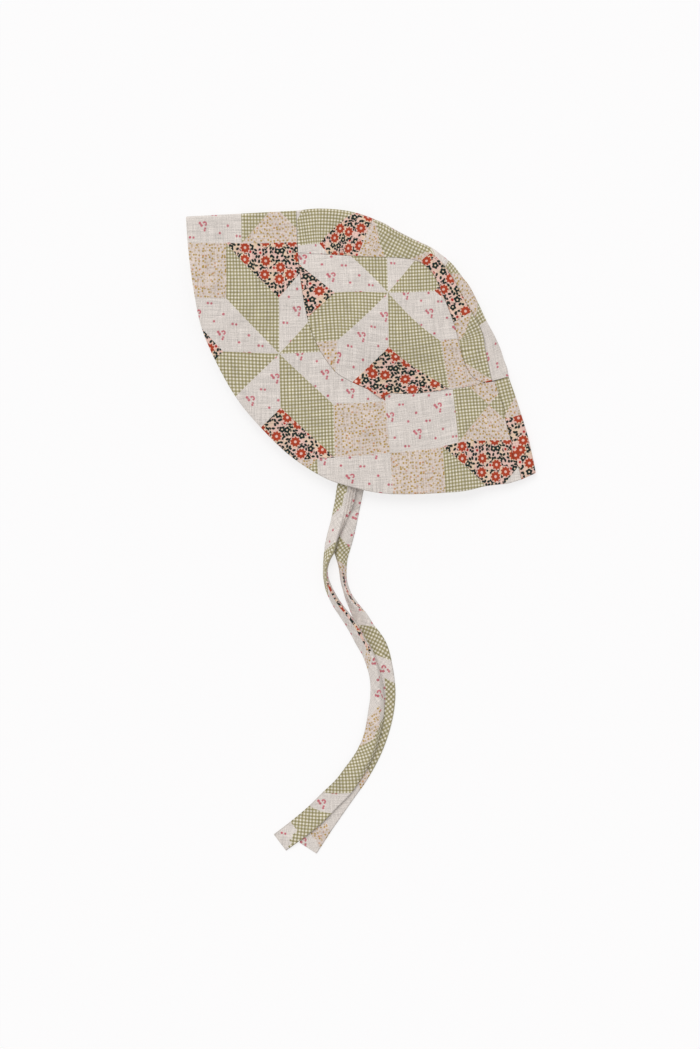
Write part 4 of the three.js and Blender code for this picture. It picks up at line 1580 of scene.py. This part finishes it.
class Wardrobe:
    """All the hat's finishes, made from the shared effects."""

    def __init__(self) -> None:
        """Builds the shared node groups."""
        self.blocks = QuiltBlocks().build()
        self.prints = SmallPrints().build()
        self.weave = PlainWeave().build()

    def quilted(self) -> Material:
        """Makes the quilt-printed cotton of the crown and the brim."""
        finish = CottonFinish("quilt_printed_cotton")
        material, w, spot = finish.empty()
        blocks = w.add("ShaderNodeGroup", node_tree=self.blocks)
        w.plug(blocks.inputs[0], spot)
        place = w.vector("SCALE", spot, scale=SQUARE)
        prints = w.add("ShaderNodeGroup", node_tree=self.prints)
        w.plug(prints.inputs["Place"], blocks.outputs["Within"])
        for name, _ in SHARES:
            w.plug(prints.inputs[name], blocks.outputs[name])
        finish.dress(w, prints.outputs[0], place, self.weave)
        return material

    def lining(self) -> Material:
        """Makes the plain off-white wrong side of the cloth."""
        # The wrong side gets a lighter painted shade beside its seams and edges.
        finish = CottonFinish("cotton_wrong_side", seam_painted_shade=0.85)
        material, w, spot = finish.empty()
        place = w.vector("SCALE", spot, scale=SQUARE)
        finish.dress(w, colour(222, 216, 208)[:3], place, self.weave)
        return material

    def tie(self, name: str, zones: Sequence[tuple[float, Chart]], slant: float, straight: float) -> Material:
        """Makes a tie's cotton, cut on the slant from the same print.

        Args:
            name: The material's name.
            zones: Where across the tie each zone starts, and where each print starts along it, in mm.
            slant: How far the prints' ends lean across the tie.
            straight: From where along the tie they no longer lean.

        Returns:
            The material.
        """
        # Painted shade darkens the tie along its edges.
        finish = CottonFinish(name, seam_painted_shade=0.8)
        material, w, spot = finish.empty()
        across, along = w.split(spot)
        leaning = w.times_plus(along, -1.0 / LEAN_END, straight / LEAN_END, clamp=True)
        lean = w.times_plus(across, w.times(leaning, slant), along)
        at = w.times(lean, 1.0 / CHART_LENGTH)
        kind: Result | None = None
        for edge, chart in zones:
            ramp = w.add("ShaderNodeValToRGB")
            ramp.color_ramp.interpolation = "CONSTANT"
            stops = ramp.color_ramp.elements
            while len(stops) > 1:
                stops.remove(stops[0])
            for n, (start, patch) in enumerate(chart):
                stop = stops[0] if n == 0 else stops.new(start / CHART_LENGTH)
                stop.position = start / CHART_LENGTH
                stop.color = (patch.value, patch.value, patch.value, 1.0)
            w.plug(ramp.inputs[0], at)
            picked = ramp.outputs[0]
            kind = picked if kind is None else w.blend(w.over(across, edge), kind, picked)
        ways = [w.math(operation, across, along) for operation in ("SUBTRACT", "ADD")]
        turned = w.join(*(w.times(way, BIAS) for way in ways))
        prints = w.add("ShaderNodeGroup", node_tree=self.prints)
        w.plug(prints.inputs["Place"], turned)
        for (key, _), patch in zip(SHARES, (GINGHAM, DOTS, FLOWERS)):
            w.plug(prints.inputs[key], w.math("COMPARE", kind, patch.value, 0.1))
        finish.dress(w, prints.outputs[0], turned, self.weave)
        return material


@dataclass
class Studio:
    """The pale surface, the soft light and the camera at the photograph's angle."""

    # The camera's place over the hat in millimetres, its turn in degrees, its height and clipping in
    # metres, and its lens.
    centre: Pair = (63.6, -93.6)
    turn: float = 36.71
    height: float = 1.506
    lens: float = 79.8
    clip: Pair = (0.05, 20.0)
    floor_size: float = 8.0
    floor_drop: float = 0.0002
    floor_colour: Colour = (0.27, 0.269, 0.269, 1.0)
    floor_glow: Colour = (1.0, 0.994, 0.996, 1.0)
    glow_strength: float = 0.71
    world_colour: Colour = (1.0, 0.995, 1.0, 1.0)
    world: float = 0.68
    lamp: float = 1.25
    lamp_angle: float = 40.0
    lamp_way: tuple[float, float, float] = (1.3, -0.75, -1.9)

    def build(self) -> None:
        """Makes the camera, the floor, the lamp and the world."""
        self._camera()
        self._floor()
        self._light()
        bpy.context.scene.view_settings.view_transform = "Standard"

    def _camera(self) -> None:
        """Hangs the camera straight above, turned as the photograph is."""
        camera = bpy.data.objects.new("camera", bpy.data.cameras.new("camera"))
        camera.data.lens = self.lens
        camera.data.clip_start, camera.data.clip_end = self.clip
        camera.location = (self.centre[0] * MM, self.centre[1] * MM, self.height)
        camera.rotation_euler = (0.0, 0.0, math.radians(self.turn))
        bpy.context.scene.collection.objects.link(camera)
        bpy.context.scene.camera = camera

    def _floor(self) -> None:
        """Lays the pale surface, which gives off a little light and so keeps the shadows faint."""
        bpy.ops.mesh.primitive_plane_add(size=self.floor_size, location=(0.0, 0.0, 0.0))
        floor = bpy.context.object
        floor.name = "floor"
        paint = bpy.data.materials.new("pale_surface")
        paint.use_nodes = True
        inputs = paint.node_tree.nodes["Principled BSDF"].inputs
        settings = (
            ("Base Color", self.floor_colour),
            ("Emission Color", self.floor_glow),
            ("Emission Strength", self.glow_strength),
            ("Roughness", 1.0),
            ("Specular IOR Level", 0.0),
        )
        for name, value in settings:
            inputs[name].default_value = value
        floor.data.materials.append(paint)
        floor.location.z = -self.floor_drop
        bpy.ops.object.select_all(action="DESELECT")
        floor.select_set(True)
        bpy.ops.object.transform_apply(location=True, rotation=True, scale=True)
        floor.select_set(False)

    def _light(self) -> None:
        """Adds the soft light of a window and the room's own."""
        lamp = bpy.data.objects.new("window_light", bpy.data.lights.new("window_light", "SUN"))
        lamp.data.angle = math.radians(self.lamp_angle)
        lamp.data.energy = self.lamp
        lamp.rotation_euler = Vector(self.lamp_way).to_track_quat("-Z", "Y").to_euler()
        bpy.context.scene.collection.objects.link(lamp)
        world = bpy.data.worlds.new("soft_room")
        world.use_nodes = True
        back = world.node_tree.nodes["Background"]
        back.inputs["Color"].default_value = self.world_colour
        back.inputs["Strength"].default_value = self.world
        bpy.context.scene.world = world


# Each row of a tie, in millimetres and as in the part's source: the place of the line that it follows, how
# far the crease lies to its right and how high, and then how far out and how high each edge lies, first the
# left one and then the right one. Where a tie lies flat, its rows end alike.
FLAT = (0.0, 0.6, 6.3, 0.6, 6.3, 0.6)
UPPER_TIE = (
    (23.1, -22.0, 0.0, 4.3, 6.3, 4.3, 6.3, 4.3),
    (29.7, -38.8, 0.0, 4.3, 6.3, 4.3, 6.3, 4.3),
    (37.8, -56.9, 0.0, 4.3, 6.2, 4.3, 6.2, 4.3),
    (46.6, -73.7, 0.0, 6.0, 5.9, 4.1, 6.1, 4.4),
    (48.7, -77.7, 0.0, 5.7, 6.0, 3.8, 6.1, 4.4),
    (51.5, -82.9, 0.0, 4.8, 6.0, 2.0, 5.8, 4.0),
    (53.8, -87.6, 0.0, 5.0, 6.0, 0.9, 5.0, 3.6),
    (56.6, -93.6, 0.0, 5.9, 6.0, 0.6, 3.5, 3.1),
    (58.9, -99.1, 0.0, 6.5, 5.9, 0.6, 2.3, 3.0),
    (61.1, -104.7, 0.0, 7.0, 5.9, 0.6, 1.3, 3.4),
    (63.6, -110.1, 0.0, 7.5, 6.0, 0.6, 1.0, 4.2),
    (65.1, -114.6, 0.0, 7.0, 5.3, 0.6, 1.0, 2.9),
    (65.7, -119.0, 0.0, 6.3, 3.6, 0.6, 1.0, 0.6),
    (66.8, -123.0, 0.0, 6.6, 2.1, 0.6, 1.0, 0.6),
    (68.9, -127.0, 0.0, 6.7, 1.4, 0.6, 1.0, 0.6),
    (72.0, -130.4, 0.0, 6.7, 1.7, 0.6, 1.0, 0.6),
    (76.6, -133.4, 0.0, 6.5, 2.7, 0.6, 1.0, 0.6),
    (81.7, -136.0, 0.0, 6.4, 3.4, 0.6, 1.0, 0.7),
    (89.5, -139.1, 0.0, 6.7, 4.0, 0.6, 1.0, 1.6),
    (95.8, -140.8, 0.0, 6.9, 4.5, 0.6, 1.0, 2.3),
    (105.8, -143.8, 0.0, 6.7, 5.3, 0.6, 1.0, 2.4),
    (115.9, -148.3, 0.0, 6.8, 5.5, 0.6, 1.1, 2.8),
    (124.1, -151.9, 0.0, 6.6, 5.5, 0.6, 1.2, 2.5),
    (132.5, -157.7, 0.0, 6.4, 5.3, 0.6, 1.3, 2.0),
    (139.1, -164.1, 0.0, 6.4, 5.0, 0.7, 2.1, 2.0),
    (145.3, -171.5, 0.0, 6.1, 5.5, 0.9, 2.7, 2.0),
    (151.1, -179.3, 0.0, 5.5, 6.8, 1.3, 2.8, 2.0),
    (156.6, -188.0, 0.0, 5.5, 7.6, 2.0, 2.1, 2.0),
    (160.0, -195.2, 0.0, 5.5, 7.9, 2.0, 1.8, 2.0),
    (162.5, -202.2, 0.0, 5.0, 8.5, 2.0, 1.7, 2.0),
    (164.0, -209.4, 0.0, 4.6, 8.9, 2.0, 1.9, 2.0),
    (164.6, -219.9, 0.0, 3.7, 9.2, 2.0, 2.7, 2.0),
    (163.7, -232.5, 0.0, 2.2, 8.5, 2.2, 4.0, 2.2),
    (161.5, -244.7, 0.0, 2.2, 8.3, 2.1, 4.6, 2.2),
    (159.3, -257.9, 0.0, 2.2, 8.1, 1.7, 5.0, 2.2),
    (156.5, -270.4, 0.0, 2.2, 8.1, 0.9, 4.8, 2.2),
    (154.2, -278.9, 0.0, 1.6, 8.1, 0.6, 4.5, 1.6),
    (152.1, -286.3, 0.0, 0.6, 8.1, 0.6, 4.4, 0.6),
)
LOWER_TIE = (
    (27.3, -20.5, 0.0, 2.7, 6.3, 2.7, 6.3, 2.7),
    (34.0, -38.8, 0.0, 2.7, 6.3, 2.7, 6.3, 2.7),
    (42.5, -56.6, 0.0, 2.7, 6.3, 2.7, 6.3, 2.7),
    (50.2, -71.0, 0.0, 2.7, 6.3, 2.7, 6.3, 2.7),
    (52.5, -75.7, 0.0, 2.7, 6.3, 2.5, 6.3, 2.7),
    (54.8, -80.4, 0.0, 1.8, 6.3, 1.6, 6.2, 1.8),
    (57.1, -85.2, 0.0, 0.9, 6.3, 0.7, 6.1, 0.9),
    (60.2, -91.7, 0.0, 1.8, 6.3, 0.6, 6.1, 0.8),
    (63.6, -98.9, 0.0, 1.9, 6.3, 0.6, 6.0, 0.8),
    (66.2, -104.9, -0.6, 2.4, 5.5, 0.6, 6.5, 0.6),
    (68.7, -109.5, -1.9, 3.6, 3.6, 0.6, 7.2, 0.6),
    (72.0, -113.5, -2.3, 4.3, 1.4, 0.6, 6.0, 0.6),
    (75.0, -116.8, -1.8, 5.6, 1.0, 0.6, 4.3, 0.6),
    (78.5, -120.7, -1.4, 6.0, 0.9, 0.6, 3.1, 0.6),
    (82.6, -124.9, -1.4, 6.2, 0.9, 0.6, 2.6, 0.6),
    (86.8, -128.2, -1.3, 6.2, 1.0, 0.6, 2.6, 0.6),
    (91.0, -131.1, -0.8, 6.0, 1.8, 0.6, 2.6, 0.6),
    (96.1, -133.5, 0.1, 5.6, 3.5, 0.6, 2.3, 0.6),
    (101.3, -135.1, 1.2, 4.9, 6.1, 0.6, 1.4, 0.6),
    (106.5, -136.8, 1.9, 3.9, 8.0, 0.6, 1.1, 0.6),
    (112.4, -139.3, 1.7, 2.8, 8.8, 0.6, 1.5, 0.6),
    (118.5, -142.4, 1.0, 1.5, 7.7, 0.6, 3.6, 0.6),
    (123.8, -145.7, 0.4, 0.9, 6.8, 0.6, 5.5, 0.6),
    (128.8, -149.2, 0.0, 0.6, 6.3, 0.6, 6.2, 0.6),
    (134.3, -154.0, *FLAT),
    (140.9, -160.3, *FLAT),
    (147.6, -168.2, *FLAT),
    (153.3, -177.6, *FLAT),
    (157.8, -187.9, *FLAT),
    (161.3, -199.0, *FLAT),
    (163.4, -209.5, *FLAT),
    (164.7, -221.1, *FLAT),
    (165.0, -233.7, *FLAT),
    (165.4, -247.9, *FLAT),
    (165.9, -261.4, *FLAT),
    (167.0, -277.8, *FLAT),
)


# Where across a tie each zone starts, from left to right, and where each print starts along it.
UPPER_END = ((275.0, SPRIGS), (291.0, GINGHAM))
UPPER_RIGHT = ((0.0, SPRIGS), (94.4, GINGHAM), (116.0, SPRIGS), (222.0, GINGHAM)) + UPPER_END
UPPER_ZONES = (
    (
        -9.0,
        (
            (0.0, SPRIGS), (40.0, GINGHAM), (69.3, SPRIGS), (94.4, GINGHAM), (123.0, SPRIGS), (170.0, DOTS),
            (177.0, SPRIGS), (210.0, DOTS), (230.0, GINGHAM),
        ) + UPPER_END + ((312.0, SPRIGS),),
    ),
    (
        -1.0,
        (
            (0.0, SPRIGS), (56.0, GINGHAM), (61.5, SPRIGS), (94.4, GINGHAM), (121.0, FLOWERS),
            (174.0, SPRIGS), (210.0, DOTS), (226.0, GINGHAM),
        ) + UPPER_END + ((316.0, SPRIGS),),
    ),
    (0.4, UPPER_RIGHT + ((319.0, SPRIGS),)),
    (3.2, UPPER_RIGHT + ((322.0, SPRIGS),)),
)
LOWER_START = ((0.0, SPRIGS), (91.0, GINGHAM), (106.0, DOTS))
LOWER_MIDDLE = ((153.0, GINGHAM), (173.0, SPRIGS))
LOWER_END = (
    (186.0, GINGHAM), (244.0, DOTS), (255.0, SPRIGS), (290.0, DOTS), (303.0, SPRIGS),
)
LOWER_ZONES = (
    (
        -9.0,
        LOWER_START + ((116.0, SPRIGS),) + LOWER_MIDDLE
        + ((244.0, DOTS), (255.0, SPRIGS), (294.0, DOTS), (304.0, SPRIGS)),
    ),
    (0.3, LOWER_START + ((112.0, FLOWERS), (141.0, SPRIGS)) + LOWER_MIDDLE + LOWER_END),
    (2.8, LOWER_START + ((114.0, SPRIGS),) + LOWER_MIDDLE + LOWER_END),
)


def build_hat() -> list[Piece]:
    """Builds the hat and its ties in order.

    Returns:
        Every visible piece.
    """
    Studio().build()
    wardrobe = Wardrobe()
    upper_tie = wardrobe.tie("upper_tie_cotton", UPPER_ZONES, 1.1, 305.0)
    lower_tie = wardrobe.tie("lower_tie_cotton", LOWER_ZONES, -0.65, 400.0)
    pieces = [
        Tie("upper_tie_strip", "tie_upper", UPPER_TIE, 0.327, pleats=0.7).build(upper_tie),
        Tie("lower_tie_strip", "tie_lower", LOWER_TIE, 0.310).build(lower_tie),
    ]
    plan = HatPlan()
    outside, inside = wardrobe.quilted(), wardrobe.lining()
    crown = Crown(plan, (outside, inside))
    upper_panel, lower_panel = crown.build_panels()
    dressed = (
        (crown.build_strip(), "crown_strip", "crown_cotton"),
        (upper_panel, "side_panel_upper", "crown_cotton"),
        (lower_panel, "side_panel_lower", "crown_cotton"),
        (Brim(plan, (outside, inside)).build(), "brim", "brim_cotton"),
    )
    for piece, node, slot in dressed:
        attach(piece, "root")
        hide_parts(node)
        pieces.append(piece)
    return pieces


def main() -> None:
    """Builds the scene."""
    logging.basicConfig(level=logging.INFO, format="%(name)s: %(message)s")
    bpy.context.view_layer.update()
    for piece in build_hat():
        LOG.info("%s has %d faces", piece.name, len(piece.data.polygons))


if __name__ == "__main__":
    main()
